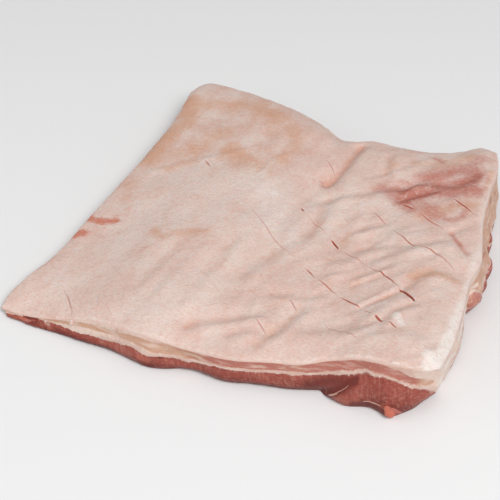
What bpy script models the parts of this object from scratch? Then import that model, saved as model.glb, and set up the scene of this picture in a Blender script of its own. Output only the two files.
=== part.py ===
"""Raw pork belly slab, rind side up, lying flat.

A roughly square cut of belly about 0.3 m across: thin at the near left corner, thick along
the right, with a folded rind scored by a few knife cuts. The slab is one solid. +Z is up,
the origin is on the table under the middle of the slab, and X runs along the near cut edge.
"""
import math
from collections import namedtuple

import bmesh
import bpy
import numpy as np
from mathutils import Vector
from mathutils.bvhtree import BVHTree

MM = 0.001
SLAB_NAME = "pork_belly_slab"

# Driving sizes of the slab, in millimetres.
SLAB_LENGTH = 315.0
SLAB_WIDTH = 304.0
LEFT_THICKNESS = 18.0
RIGHT_THICKNESS = 38.0
RIND_ROLL = 3.5
RIND_ROLL_REACH = 11.0
RIM_RADIUS = 2.0
RIM_SHARE = 0.5
FOLD_FADE = 9.0

# Lumps of a cut side fade out towards the rind's edge over the last part of its height.
LUMP_FADE = 4.0
# How sharply the outward direction turns at the slab's corners.
CORNER_TURN = 9

# The mesh lattice: even cells, and extra rows close to the four edges.
CELLS_ALONG = 46
CELLS_ACROSS = 46
WALL_ROWS = 8
EDGE_ROWS = (0.006, 0.014)
WHOLE_EDGE = 0.9
ON_EDGE = 0.01
NEARLY_NONE = 1e-6

# The outlines are drawn about this point, which is moved to the origin.
DRAWN_MIDDLE = (0.9, 0.15)

# Corners of the rind's edge and of the foot, x, y, z in millimetres.
NEAR_LEFT_RIM = (-158, -135, 7)
NEAR_RIGHT_RIM = (147.5, -132, 38)
FAR_LEFT_RIM = (-117.5, 139, 26)
FAR_RIGHT_RIM = (142, 115, 36)
NEAR_LEFT_FOOT = (-147.5, -136, 0)
NEAR_RIGHT_FOOT = (143, -122, 0)
FAR_LEFT_FOOT = (-113.5, 136, 0)
FAR_RIGHT_FOOT = (145, 112, 0)

# The rind's edge on the four sides, left to right and near to far.
NEAR_RIM = (
    NEAR_LEFT_RIM, (-139.5, -136.5, 6.5), (-110.5, -138, 12), (-85.5, -140, 19.5), (-64.5, -144, 22.5),
    (-47.5, -148, 24.8), (-12.5, -148.5, 21), (18.5, -150, 23), (41.5, -145.5, 24), (60, -143, 25.5),
    (77.5, -138, 30), (96.5, -138, 37), (121.5, -140, 40), (140, -137.5, 39), NEAR_RIGHT_RIM)
FAR_RIM = (
    FAR_LEFT_RIM, (-109, 152, 28), (-77.5, 149, 30), (-47.5, 139, 32), (-19.5, 129, 32), (5.5, 116, 31),
    (21, 108.5, 27), (43.5, 112, 28), (91.5, 111.5, 28), (113.5, 116, 30), (129, 120.5, 34), FAR_RIGHT_RIM)
LEFT_RIM = (
    NEAR_LEFT_RIM, (-157, -124, 10), (-150.5, -107, 14), (-140.5, -78, 16), (-134.5, -39, LEFT_THICKNESS),
    (-120.5, 58, 22), (-116.5, 92, 24), FAR_LEFT_RIM)
RIGHT_RIM = (
    NEAR_RIGHT_RIM, (150, -117, 38), (151, -64, 38), (150, -43, 38), (153.5, -18, 38), (151, -4, 38),
    (146.5, 23, RIGHT_THICKNESS), (145, 60, 38), (145.5, 98, 38), FAR_RIGHT_RIM)

# The line where the meat meets the table on the four sides.
NEAR_FOOT = (
    NEAR_LEFT_FOOT, (-133.5, -139, 0), (-95.5, -142.5, 0), (-73.5, -145, 0), (-47.5, -151, 0),
    (-39.5, -152, 0), (-11.5, -146, 0), (14, -149, 0), (27.5, -146.5, 0), (49.5, -144, 0), (77.5, -139.5, 0),
    (91.5, -144, 0), (107.5, -141, 0), (121.5, -144.5, 0), (131, -137, 0), NEAR_RIGHT_FOOT)
FAR_FOOT = (
    FAR_LEFT_FOOT, (-105.5, 147, 0), (-77.5, 146, 0), (-47.5, 137, 0), (-19.5, 127, 0), (5.5, 114, 0),
    (19.5, 109, 0), (43.5, 111, 0), (91.5, 112, 0), (129, 117, 0), FAR_RIGHT_FOOT)
LEFT_FOOT = (
    NEAR_LEFT_FOOT, (-146.5, -107, 0), (-137.5, -78, 0), (-132.5, -39, 0), (-125.5, 13.5, 0),
    (-119.5, 58, 0), (-115.5, 92, 0), FAR_LEFT_FOOT)
RIGHT_FOOT = (
    NEAR_RIGHT_FOOT, (146.5, -109, 0), (149.5, -88, 0), (150.5, -65, 0), (150, -40, 0), (152.5, -26, 0),
    (156.5, -8, 0), (153, 29, 0), (149.5, 57, 0), (148, 87, 0), FAR_RIGHT_FOOT)

# A fold follows a line over the rind. It is a ridge (crest above 0) or a valley (below 0), a
# step that lifts its near right side (rise above 0), or both, in millimetres.
Fold = namedtuple("Fold", "line reach crest rise")
NEAR_RIGHT_SIDE = (0.5, -0.86)
FOLDS = (
    Fold(((28, 110), (41, 95), (38, 81), (35, 64), (32, 52)), 6, -6, 1.1),
    Fold(((10, 96), (22, 78), (25, 62)), 9.5, 2.5, 0),
    Fold(((33, 45), (24, 27)), 7, -1.3, 1.6),
    Fold(((74, 49), (55, 33), (41, 26), (35, 17), (35, -4), (27, -30)), 5.5, 0, 2.4),
    Fold(((52, 27), (73, 20)), 7, 1.7, 0),
    Fold(((18, 5), (20, -19), (16, -38), (9, -61), (1, -75)), 8.5, -1.3, 2.3),
    Fold(((28, -33), (54, -49)), 10.5, 2.2, 0),
    Fold(((-17, -28), (-18, -63), (-21, -92), (-23, -106)), 7.5, -0.5, 1.9),
    Fold(((-50, -75), (-62, -112), (-69, -131)), 9.5, 0, 1.4),
    Fold(((-32, -106), (-41, -132)), 7, 0, 1.2),
    Fold(((10, -59), (3, -70), (-2, -108)), 8.5, 0, 1.7),
    Fold(((-18, -134), (-4, -125), (18, -116)), 5.5, 0, 1.9),
    Fold(((20, -133), (34, -128)), 4.5, 0, 1.2),
    Fold(((32, -137), (33, -128), (44, -115), (49, -97)), 5.5, -1, 2.2),
    Fold(((26, -94), (48, -89), (69, -79)), 5.5, 0, 1.9),
    Fold(((60, -120), (81, -112), (101, -105)), 6, 0, 1.7),
    Fold(((108, -105), (110, -97), (121, -86)), 4.5, 0, 1.5),
    Fold(((112, -121), (137, -113)), 9.5, 0, 1.9),
    Fold(((133, -110), (146, -126)), 10.5, 1.7, 0),
    Fold(((66, -36), (79, -21), (107, -18), (132, -5)), 4.5, 0, 1.9),
    Fold(((59, -39), (54, -60)), 7, 0, 1.7),
    Fold(((117, -67), (121, -53), (129, -43), (139, -42)), 7, -0.8, 2.2),
    Fold(((59, -22), (58, 18)), 7, -0.7, 1.4),
    Fold(((64, 41), (85, 50), (98, 59), (119, 64), (132, 79)), 5.5, -0.7, 2.6),
    Fold(((85, 34), (103, 49)), 4.5, 0, 1.6),
    Fold(((66, 79), (71, 60)), 6, 0, 1.2),
    Fold(((44, 44), (46, 38)), 9.5, 2, 0),
    Fold(((86, -86), (106, -69)), 4, 0, -0.9),
    Fold(((76, -64), (92, -52)), 4, 0, -0.6),
    Fold(((129, 4), (133, -5), (143, -13)), 4, -2.5, 0),
    Fold(((-108, 22), (-75, 44), (-56, 57), (-35, 67)), 4.5, 0.8, 0),
)

# Long soft waves of the rind: wavelength, direction in degrees, height and phase in degrees.
Wave = namedtuple("Wave", "length heading height phase")
WAVES = (Wave(95, 20, 0.5, 40), Wave(62, 118, 0.35, 200), Wave(41, 75, 0.2, 310), Wave(27, 150, 0.12, 90))

# Lumps and hollows of the cut sides: centre, radius and how far they stand out.
Lump = namedtuple("Lump", "place radius out")
LUMPS = (
    Lump((99, -142, 9), 13.0, 3.5),
    Lump((124, -141, 7), 9.0, 2.5),
    Lump((121, -146, 1), 5.0, 2.0),
    Lump((109, -141, 1), 6.0, -3.0),
    Lump((60, -143, 10), 14.0, 1.5),
    Lump((14, -148, 8), 16.0, 1.5),
    Lump((-47, -150, 9), 15.0, 2.0),
    Lump((-90, -141, 6), 12.0, 1.5),
    Lump((154, -29, 13), 7.0, 7.0),
    Lump((152, -44, 4), 7.0, -3.0),
    Lump((150, -84, 14), 9.0, 1.5),
    Lump((144, -128, 9), 10.0, 3.0),
    Lump((153, 10, 20), 10.0, 2.0),
    Lump((150, 55, 18), 14.0, 2.0),
    Lump((-60, 143, 12), 18.0, 2.0),
    Lump((60, 111, 12), 16.0, 2.0),
    Lump((-130, -10, 9), 18.0, 1.5),
)

# How far the cut side stands out at shares of its height, from the foot to the rind's edge.
SIDE_PROFILE = (
    (0.0, -0.5), (0.08, 0.2), (0.25, 1.2), (0.45, 0.6), (0.56, 0.8), (0.66, -0.4), (0.82, -0.6),
    (0.92, 0.6), (1.0, 0.0))

# Knife cuts in the rind: plan line, gape and depth.
Cut = namedtuple("Cut", "line gape depth")
CUTS = (
    Cut(((-119, -115), (-113, -121), (-108, -128), (-104, -134)), 1.4, 2.5),
    Cut(((-92, -120), (-81, -129), (-71, -138)), 0.9, 2.0),
    Cut(((16, 8), (20, 4)), 1.8, 3.0),
    Cut(((46, -21), (55, -30)), 2.2, 4.0),
    Cut(((22, -114), (33, -125)), 1.4, 2.5),
    Cut(((38, -56), (56, -70), (69, -79), (85, -88)), 1.6, 3.5),
    Cut(((97, -101), (103, -105)), 1.8, 3.0),
    Cut(((106, -105), (113, -110)), 1.6, 3.0),
    Cut(((81, -42), (94, -55), (104, -64)), 1.8, 4.0),
    Cut(((106, -66), (119, -78)), 3.2, 6.0),
    Cut(((82, 6), (95, -5), (104, -14), (123, -21), (134, -32)), 1.8, 4.0),
    Cut(((84, 31), (93, 30), (106, 20), (119, 11)), 1.4, 3.0),
    Cut(((120, 46), (129, 40), (139, 32)), 2.0, 4.0),
    Cut(((37, -92), (45, -100)), 1.6, 3.0),
)
BLADE_SECTIONS = 8
BLADE_SIDES = 6
BLADE_LIFT = 0.4
BLADE_STEP = 0.01
RAY_START = 1.0

RIND_COLOUR = (0.72, 0.56, 0.49, 1.0)
RIND_ROUGHNESS = 0.5


def clear_scene():
    """Remove the objects that are in the scene."""
    for thing in list(bpy.data.objects):
        bpy.data.objects.remove(thing, do_unlink=True)


def smooth_curve(stations, share):
    """Points at the given shares (0 to 1) of a smooth curve through the stations."""
    points = np.array(stations, float)
    steps = np.diff(points, axis=0)
    chords = np.linalg.norm(steps, axis=1)
    knots = np.concatenate([[0.0], np.cumsum(chords)]) / chords.sum()
    spans = np.diff(knots)[:, None]
    rates = steps / spans
    slopes = np.empty_like(points)
    slopes[1:-1] = (rates[:-1] * spans[1:] + rates[1:] * spans[:-1]) / (spans[1:] + spans[:-1])
    slopes[0] = rates[0]
    slopes[-1] = rates[-1]
    share = np.clip(share, 0.0, 1.0)
    first = np.clip(np.searchsorted(knots, share, side="right") - 1, 0, len(points) - 2)
    span = (knots[first + 1] - knots[first])[:, None]
    t = (share - knots[first])[:, None] / span
    start = (2 * t ** 3 - 3 * t ** 2 + 1) * points[first] + (t ** 3 - 2 * t ** 2 + t) * span * slopes[first]
    end = (3 * t ** 2 - 2 * t ** 3) * points[first + 1] + (t ** 3 - t ** 2) * span * slopes[first + 1]
    return start + end


def patch(near, far, left, right, along, across):
    """Points of the surface stretched between four edge curves."""
    u = along[:, None]
    v = across[:, None]
    sides = (1 - v) * smooth_curve(near, along) + v * smooth_curve(far, along)
    ends = (1 - u) * smooth_curve(left, across) + u * smooth_curve(right, across)
    near_corners = (1 - v) * ((1 - u) * np.array(near[0], float) + u * np.array(near[-1], float))
    far_corners = v * ((1 - u) * np.array(far[0], float) + u * np.array(far[-1], float))
    return sides + ends - near_corners - far_corners


def distance_to_line(spots, line):
    """Distance from each plan spot to a line, positive on the line's near right side."""
    best = np.full(len(spots), np.inf)
    for start, end in zip(line[:-1], line[1:]):
        start = np.array(start, float)
        way = np.array(end, float) - start
        share = np.clip((spots - start) @ way / (way @ way), 0.0, 1.0)
        gap = spots - start - share[:, None] * way
        normal = np.array((way[1], -way[0])) / np.linalg.norm(way)
        if normal @ np.array(NEAR_RIGHT_SIDE) < 0:
            normal = -normal
        length = np.linalg.norm(gap, axis=1)
        signed = np.where(gap @ normal < 0, -length, length)
        best = np.where(length < np.abs(best), signed, best)
    return best


def fold_height(spots):
    """Height that the folds and the soft waves add at each plan spot."""
    height = np.zeros(len(spots))
    for fold in FOLDS:
        offset = distance_to_line(spots, fold.line) / fold.reach
        bell = np.exp(-0.5 * offset ** 2)
        height += fold.crest * bell + fold.rise * offset * bell * math.exp(0.5)
    for wave in WAVES:
        heading = math.radians(wave.heading)
        run = spots[:, 0] * math.cos(heading) + spots[:, 1] * math.sin(heading)
        height += wave.height * np.sin(run * math.tau / wave.length + math.radians(wave.phase))
    return height


def edge_distance(along, across):
    """Distance from the slab's nearest edge, along the rind."""
    sideways = np.minimum(along, 1 - along) * SLAB_LENGTH
    lengthways = np.minimum(across, 1 - across) * SLAB_WIDTH
    return np.minimum(sideways, lengthways)


def rind_points(along, across):
    """Points of the rind, with its rolled edge and its folds."""
    points = patch(NEAR_RIM, FAR_RIM, LEFT_RIM, RIGHT_RIM, along, across)
    inset = edge_distance(along, across)
    fade = 1 - np.exp(-(inset / FOLD_FADE) ** 2)
    points[:, 2] += RIND_ROLL * (1 - np.exp(-inset / RIND_ROLL_REACH))
    points[:, 2] += fade * fold_height(points[:, :2])
    rounding = np.clip(1 - inset / RIM_RADIUS, 0.0, 1.0)
    points[:, 2] -= RIM_RADIUS * RIM_SHARE * (1 - np.sqrt(1 - rounding ** 2))
    return points


def side_push(points, height):
    """How far the points of the cut sides stand out from the plain side."""
    shares, outs = zip(*SIDE_PROFILE)
    push = np.interp(height, shares, outs)
    below_rim = np.clip(LUMP_FADE * (1 - height), 0.0, 1.0)
    for lump in LUMPS:
        gap = np.linalg.norm(points - np.array(lump.place, float), axis=1)
        push += lump.out * np.exp(-0.5 * (gap / lump.radius) ** 2) * below_rim
    return push


def outward(along, across):
    """Plan direction away from the slab, square to each side and diagonal at the corners."""
    way = np.stack([(2 * along - 1) ** CORNER_TURN, (2 * across - 1) ** CORNER_TURN], axis=1)
    length = np.maximum(np.linalg.norm(way, axis=1, keepdims=True), NEARLY_NONE)
    return way / length


def build_lattice():
    """A unit block whose faces are cut into the lattice's cells."""
    block = bmesh.new()
    bmesh.ops.create_cube(block, size=1.0)
    bmesh.ops.translate(block, verts=block.verts, vec=(0.5, 0.5, 0.5))
    for axis, cells in enumerate((CELLS_ALONG, CELLS_ACROSS, WALL_ROWS)):
        spans = ((edge, abs(edge.verts[0].co[axis] - edge.verts[1].co[axis])) for edge in block.edges)
        edges = [edge for edge, span in spans if span > WHOLE_EDGE]
        bmesh.ops.subdivide_edges(block, edges=edges, cuts=cells - 1, use_grid_fill=True)
    for axis in (0, 1):
        for row in EDGE_ROWS:
            for place in (row, 1 - row):
                point = Vector((0.5, 0.5, 0.5))
                point[axis] = place
                normal = Vector((0.0, 0.0, 0.0))
                normal[axis] = 1.0
                everything = block.verts[:] + block.edges[:] + block.faces[:]
                bmesh.ops.bisect_plane(block, geom=everything, plane_co=point, plane_no=normal)
    return block


def shape_slab(block):
    """Move the lattice's points to the slab's surface."""
    shares = np.array([vert.co[:] for vert in block.verts])
    along, across, height = np.clip(shares, 0.0, 1.0).T
    top = rind_points(along, across)
    foot = patch(NEAR_FOOT, FAR_FOOT, LEFT_FOOT, RIGHT_FOOT, along, across)
    points = foot + (top - foot) * height[:, None]
    on_side = edge_distance(along, across) < ON_EDGE
    push = np.where(on_side, side_push(points, height), 0.0)
    points[:, :2] += outward(along, across) * push[:, None] - np.array(DRAWN_MIDDLE)
    for vert, point in zip(block.verts, points):
        vert.co = point * MM


def tidy_underside(block):
    """Join the flat cells of the underside, which the table hides."""
    flat = {face for face in block.faces if all(abs(vert.co.z) < NEARLY_NONE for vert in face.verts)}
    edges = {edge for face in flat for edge in face.edges if flat.issuperset(edge.link_faces)}
    bmesh.ops.dissolve_edges(block, edges=list(edges), use_verts=True)


def blade(cut, skin):
    """A lens-shaped blade standing on the rind along one knife cut."""
    shape = bmesh.new()
    bmesh.ops.create_uvsphere(shape, u_segments=BLADE_SIDES, v_segments=BLADE_SECTIONS, radius=1.0)
    line = [(x - DRAWN_MIDDLE[0], y - DRAWN_MIDDLE[1], 0.0) for x, y in cut.line]
    for vert in shape.verts:
        share = (vert.co.z + 1) / 2
        sideways = vert.co.x
        down = vert.co.y
        here, ahead = smooth_curve(line, np.array([share - BLADE_STEP, share + BLADE_STEP]))
        middle = (here + ahead) / 2
        way = Vector(ahead - here).normalized()
        across = Vector((-way.y, way.x, 0.0))
        above = Vector((middle[0] * MM, middle[1] * MM, RAY_START))
        hit = skin.ray_cast(above, Vector((0, 0, -1)))[0]
        lift = Vector((0.0, 0.0, BLADE_LIFT + down * cut.depth))
        vert.co = hit + (across * sideways * cut.gape / 2 + lift) * MM
    mesh = bpy.data.meshes.new("knife_cut")
    shape.to_mesh(mesh)
    shape.free()
    return mesh


def rind_material():
    """Pale raw rind."""
    material = bpy.data.materials.new("raw_rind")
    material.use_nodes = True
    shader = material.node_tree.nodes["Principled BSDF"]
    shader.inputs["Base Color"].default_value = RIND_COLOUR
    shader.inputs["Roughness"].default_value = RIND_ROUGHNESS
    shader.inputs["Metallic"].default_value = 0.0
    return material


def make_collection(name):
    """A new collection in the scene."""
    collection = bpy.data.collections.new(name)
    bpy.context.scene.collection.children.link(collection)
    return collection


def make_slab(parts, cutters):
    """The slab, with its knife cuts taken out."""
    block = build_lattice()
    shape_slab(block)
    tidy_underside(block)
    bmesh.ops.triangulate(block, faces=block.faces)
    bmesh.ops.recalc_face_normals(block, faces=block.faces)
    skin = BVHTree.FromBMesh(block)
    mesh = bpy.data.meshes.new(SLAB_NAME)
    block.to_mesh(mesh)
    block.free()
    slab = bpy.data.objects.new(SLAB_NAME, mesh)
    slab.data.materials.append(rind_material())
    parts.objects.link(slab)
    for number, cut in enumerate(CUTS, start=1):
        knife = bpy.data.objects.new(f"knife_cut_{number:02d}", blade(cut, skin))
        knife.hide_render = True
        knife.display_type = "WIRE"
        cutters.objects.link(knife)
    scoring = slab.modifiers.new("Knife cuts", "BOOLEAN")
    scoring.operation = "DIFFERENCE"
    scoring.operand_type = "COLLECTION"
    scoring.collection = cutters
    scoring.solver = "EXACT"
    return slab


def main():
    """Build the slab."""
    clear_scene()
    parts = make_collection(SLAB_NAME)
    cutters = make_collection("cutters")
    make_slab(parts, cutters)


main()
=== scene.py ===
"""The looks of a raw pork belly slab: folded rind, knife cuts, streaky cut sides and a stage.

Lengths in the lists below are in millimetres, as they are in the slab's own drawing.
"""
import math
from collections import namedtuple

import bmesh
import bpy
import numpy as np
from bpy.props import FloatProperty, FloatVectorProperty, IntProperty, PointerProperty
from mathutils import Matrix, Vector, noise
from mathutils.bvhtree import BVHTree


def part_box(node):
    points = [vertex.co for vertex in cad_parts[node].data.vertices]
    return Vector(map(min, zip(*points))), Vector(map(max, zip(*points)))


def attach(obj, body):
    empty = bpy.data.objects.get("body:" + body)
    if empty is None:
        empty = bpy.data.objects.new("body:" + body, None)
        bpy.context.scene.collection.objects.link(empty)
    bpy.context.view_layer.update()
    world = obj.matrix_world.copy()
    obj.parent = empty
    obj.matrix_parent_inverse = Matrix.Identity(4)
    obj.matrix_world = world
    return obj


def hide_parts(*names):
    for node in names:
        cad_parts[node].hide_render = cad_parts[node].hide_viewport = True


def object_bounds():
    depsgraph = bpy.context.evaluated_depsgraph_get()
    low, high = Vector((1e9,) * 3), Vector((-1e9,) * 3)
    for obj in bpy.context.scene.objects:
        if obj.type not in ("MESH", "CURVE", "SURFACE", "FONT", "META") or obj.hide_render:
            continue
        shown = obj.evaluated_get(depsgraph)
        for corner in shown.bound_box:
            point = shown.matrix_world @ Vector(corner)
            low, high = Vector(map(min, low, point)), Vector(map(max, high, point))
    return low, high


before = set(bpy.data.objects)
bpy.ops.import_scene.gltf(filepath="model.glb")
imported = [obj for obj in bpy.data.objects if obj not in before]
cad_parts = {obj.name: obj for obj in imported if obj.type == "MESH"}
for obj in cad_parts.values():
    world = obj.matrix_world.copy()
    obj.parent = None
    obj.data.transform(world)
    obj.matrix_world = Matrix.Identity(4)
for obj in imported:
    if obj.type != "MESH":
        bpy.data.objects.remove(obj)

bl_info = {
    "name": "Pork belly slab",
    "version": (1, 0, 0),
    "blender": (4, 5, 0),
    "location": "3D View > Sidebar > Slab",
    "description": "Dresses a raw pork belly slab: folded rind, knife cuts, streaky sides and a stage",
    "category": "Object",
}

CAD_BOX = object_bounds()
SLAB_NODE = "pork_belly_slab"
BODY_NAME = "slab_body"

MM = 0.001
SLAB_LENGTH, SLAB_WIDTH, _ = ((high - low) / MM for low, high in zip(*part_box(SLAB_NODE)))
SEED = 11

# The outlines are drawn about this point, which lies over the origin.
DRAWN_MIDDLE = (0.9, 0.15)

# Corners of the rind's edge and of the foot, x, y, z.
NEAR_LEFT_RIM = (-158, -135, 7)
NEAR_RIGHT_RIM = (147.5, -132, 38)
FAR_LEFT_RIM = (-117.5, 139, 26)
FAR_RIGHT_RIM = (142, 115, 36)
NEAR_LEFT_FOOT = (-147.5, -136, 0)
NEAR_RIGHT_FOOT = (143, -122, 0)
FAR_LEFT_FOOT = (-113.5, 136, 0)
FAR_RIGHT_FOOT = (145, 112, 0)

# The rind's edge on the four sides, left to right and near to far.
NEAR_RIM = (
    NEAR_LEFT_RIM, (-139.5, -136.5, 6.5), (-110.5, -138, 12), (-85.5, -140, 19.5), (-64.5, -144, 22.5),
    (-47.5, -148, 24.8), (-12.5, -148.5, 21), (18.5, -150, 23), (41.5, -145.5, 24), (60, -143, 25.5),
    (77.5, -138, 30), (96.5, -138, 37), (121.5, -140, 40), (140, -137.5, 39), NEAR_RIGHT_RIM)
FAR_RIM = (
    FAR_LEFT_RIM, (-109, 152, 28), (-77.5, 149, 30), (-47.5, 139, 32), (-19.5, 129, 32), (5.5, 116, 31),
    (21, 108.5, 27), (43.5, 112, 28), (91.5, 111.5, 28), (113.5, 116, 30), (129, 120.5, 34),
    FAR_RIGHT_RIM)
LEFT_RIM = (
    NEAR_LEFT_RIM, (-157, -124, 10), (-150.5, -107, 14), (-140.5, -78, 16), (-134.5, -39, 18),
    (-120.5, 58, 22), (-116.5, 92, 24), FAR_LEFT_RIM)
RIGHT_RIM = (
    NEAR_RIGHT_RIM, (150, -117, 38), (151, -64, 38), (150, -43, 38), (153.5, -18, 38), (151, -4, 38),
    (146.5, 23, 38), (145, 60, 38), (145.5, 98, 38), FAR_RIGHT_RIM)

# The line where the meat meets the table on the four sides.
NEAR_FOOT = (
    NEAR_LEFT_FOOT, (-133.5, -139, 0), (-95.5, -142.5, 0), (-73.5, -145, 0), (-47.5, -151, 0),
    (-39.5, -152, 0), (-11.5, -146, 0), (14, -149, 0), (27.5, -146.5, 0), (49.5, -144, 0),
    (77.5, -139.5, 0), (91.5, -144, 0), (107.5, -141, 0), (121.5, -144.5, 0), (131, -137, 0),
    NEAR_RIGHT_FOOT)
FAR_FOOT = (
    FAR_LEFT_FOOT, (-105.5, 147, 0), (-77.5, 146, 0), (-47.5, 137, 0), (-19.5, 127, 0), (5.5, 114, 0),
    (19.5, 109, 0), (43.5, 111, 0), (91.5, 112, 0), (129, 117, 0), FAR_RIGHT_FOOT)
LEFT_FOOT = (
    NEAR_LEFT_FOOT, (-146.5, -107, 0), (-137.5, -78, 0), (-132.5, -39, 0), (-125.5, 13.5, 0),
    (-119.5, 58, 0), (-115.5, 92, 0), FAR_LEFT_FOOT)
RIGHT_FOOT = (
    NEAR_RIGHT_FOOT, (146.5, -109, 0), (149.5, -88, 0), (150.5, -65, 0), (150, -40, 0), (152.5, -26, 0),
    (156.5, -8, 0), (153, 29, 0), (149.5, 57, 0), (148, 87, 0), FAR_RIGHT_FOOT)

# A fold follows a line over the rind: a ridge (crest above 0) or a valley (below 0), a step
# that lifts its near right side (rise above 0), or both.
Fold = namedtuple("Fold", "line reach crest rise")
NEAR_RIGHT_SIDE = (0.5, -0.86)
FOLDS = (
    Fold(((40, 102), (37, 84), (35, 68), (31, 54), (27, 46)), 3.8, -4.5, 1.5),
    Fold(((10, 96), (22, 78), (25, 62)), 9.5, 2.5, 0.0),
    Fold(((33, 45), (25, 34), (22, 22)), 6.5, -1.0, 1.0),
    Fold(((44, 54), (46, 38)), 8.0, 1.7, 0.0),
    Fold(((34, 20), (45, 29), (60, 37), (68, 44), (80, 52)), 4.2, 0.0, 1.0),
    Fold(((61, 24), (70, 32)), 6.0, 2.1, 0.0),
    Fold(((37, 24), (36, 8), (35, -8), (31, -30)), 5.5, 0.0, 1.5),
    Fold(((18, 8), (15, -12), (13, -34)), 5.5, -0.4, 1.1),
    Fold(((20, -40), (12, -55), (5, -66), (1, -78)), 6.0, -0.4, 1.1),
    Fold(((28, -33), (54, -49)), 10.0, 1.7, 0.0),
    Fold(((-14, -40), (-18, -60), (-22, -80), (-25, -102), (-28, -116)), 5.5, -0.2, 1.0),
    Fold(((-50, -66), (-57, -86), (-62, -108)), 5.0, 0.0, 0.7),
    Fold(((-40, -64), (-45, -87), (-49, -112)), 4.5, 0.0, 0.6),
    Fold(((-33, -90), (-36, -108), (-38, -124)), 4.0, 0.0, 0.5),
    Fold(((-44, -38), (-49, -56)), 4.5, 0.0, 0.4),
    Fold(((-4, -6), (-5, -22)), 4.0, 0.0, 0.5),
    Fold(((-5, -78), (-8, -106)), 5.0, 0.0, 0.7),
    Fold(((4, -76), (2, -104)), 4.5, 0.0, 0.7),
    Fold(((15, -82), (12, -110)), 4.5, 0.0, 0.6),
    Fold(((-17, -135), (-9, -128), (0, -124), (11, -119), (20, -114)), 4.4, 0.0, 1.4),
    Fold(((12, -134), (21, -128), (34, -128)), 4.0, 0.0, 0.9),
    Fold(((26, -92), (36, -89.5), (48, -88), (56, -84)), 4.0, 0.0, 1.0),
    Fold(((50, -98), (47, -108), (41, -121), (32, -137)), 5.0, -0.6, 1.6),
    Fold(((59, -10), (57, -38), (54, -60)), 5.5, -0.3, 0.9),
    Fold(((60, 12), (54, -6)), 4.0, 0.0, 0.7),
    Fold(((70, 14), (68, -6)), 4.0, 0.0, 0.5),
    Fold(((66, -6), (80, 3)), 4.0, 0.0, 0.6),
    Fold(((64, -44), (73, -29), (87, -22), (102, -20), (114, -17), (127, -11)), 4.5, 0.0, 1.2),
    Fold(((82, -43), (93, -30), (104, -25)), 4.0, 0.0, 0.7),
    Fold(((86, -40), (102, -30), (118, -23), (130, -19)), 3.2, 0.7, 0.0),
    Fold(((84, -12), (96, -6)), 3.5, 0.8, 0.0),
    Fold(((102, -55), (111, -44), (125, -27)), 4.0, 0.0, 0.8),
    Fold(((116, -64), (122, -51), (131, -46), (143, -48)), 6.5, -0.6, 1.5),
    Fold(((75, -65), (93, -52)), 2.0, 0.0, -0.6),
    Fold(((78, -57), (95, -46)), 3.5, 0.0, 0.6),
    Fold(((85, -88), (106, -68)), 2.2, 0.0, -1.0),
    Fold(((95, -95), (106, -82)), 5.0, 0.0, 0.8),
    Fold(((106, -105), (110, -95), (119, -86)), 3.8, 0.0, 1.2),
    Fold(((80, -119), (92, -111), (103, -104)), 3.5, 0.0, 0.7),
    Fold(((56, -121), (73, -114), (84, -108)), 6.0, 0.0, 0.9),
    Fold(((76, -116), (98, -115), (118, -113), (134, -117)), 7.0, 0.0, 1.1),
    Fold(((130, -134), (136, -128), (142, -121)), 3.0, 0.0, 0.7),
    Fold(((129, -90), (134, -106)), 6.0, 0.0, 0.5),
    Fold(((133, -110), (146, -126)), 10.0, 1.5, 0.0),
    Fold(((128, 2), (135, -8), (142, -18)), 3.0, -2.2, 0.5),
    Fold(((131, 1), (141, 11)), 4.0, 0.0, 0.6),
    Fold(((84, 50), (91, 57), (101, 60), (116, 59), (127, 62), (132, 70)), 4.8, -0.9, 1.2),
    Fold(((89, 35), (98, 43), (107, 50)), 4.2, -0.7, 1.2),
    Fold(((85, 44), (90, 55)), 3.0, 0.0, 0.7),
    Fold(((66, 87), (68, 72), (71, 60)), 3.5, 0.0, 1.0),
    Fold(((83, 82), (90, 93)), 4.0, 0.0, 0.6),
    Fold(((127, 95), (134, 82)), 4.5, -0.3, 0.8),
    Fold(((-108, 22), (-86, 36), (-64, 49), (-35, 67)), 2.4, 0.6, 0.0),
)

# Fine wrinkles: how many, the plan box they lie in, the ranges they are drawn from, where they
# turn from one heading to the other, and how far they stray and bend.
WRINKLE_COUNT = 130
WRINKLE_FIELD = ((-35, -130), (143, 110))
WRINKLE_LENGTH = (10, 34)
WRINKLE_REACH = (2.0, 4.5)
WRINKLE_RISE = (0.05, 0.3)
WRINKLE_CREST = 0.16
WRINKLE_HEADING_LEFT = 78
WRINKLE_HEADING_RIGHT = 38
WRINKLE_TURN_AT = 35
WRINKLE_TURN_HALF = 20
WRINKLE_STRAY = 9
WRINKLE_BEND = 0.25

# Long soft waves of the rind: wavelength, direction in degrees, height and phase in degrees.
Wave = namedtuple("Wave", "length heading height phase")
WAVES = (
    Wave(95, 20, 0.5, 40), Wave(62, 118, 0.35, 200), Wave(41, 75, 0.2, 310), Wave(27, 150, 0.12, 90))

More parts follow.
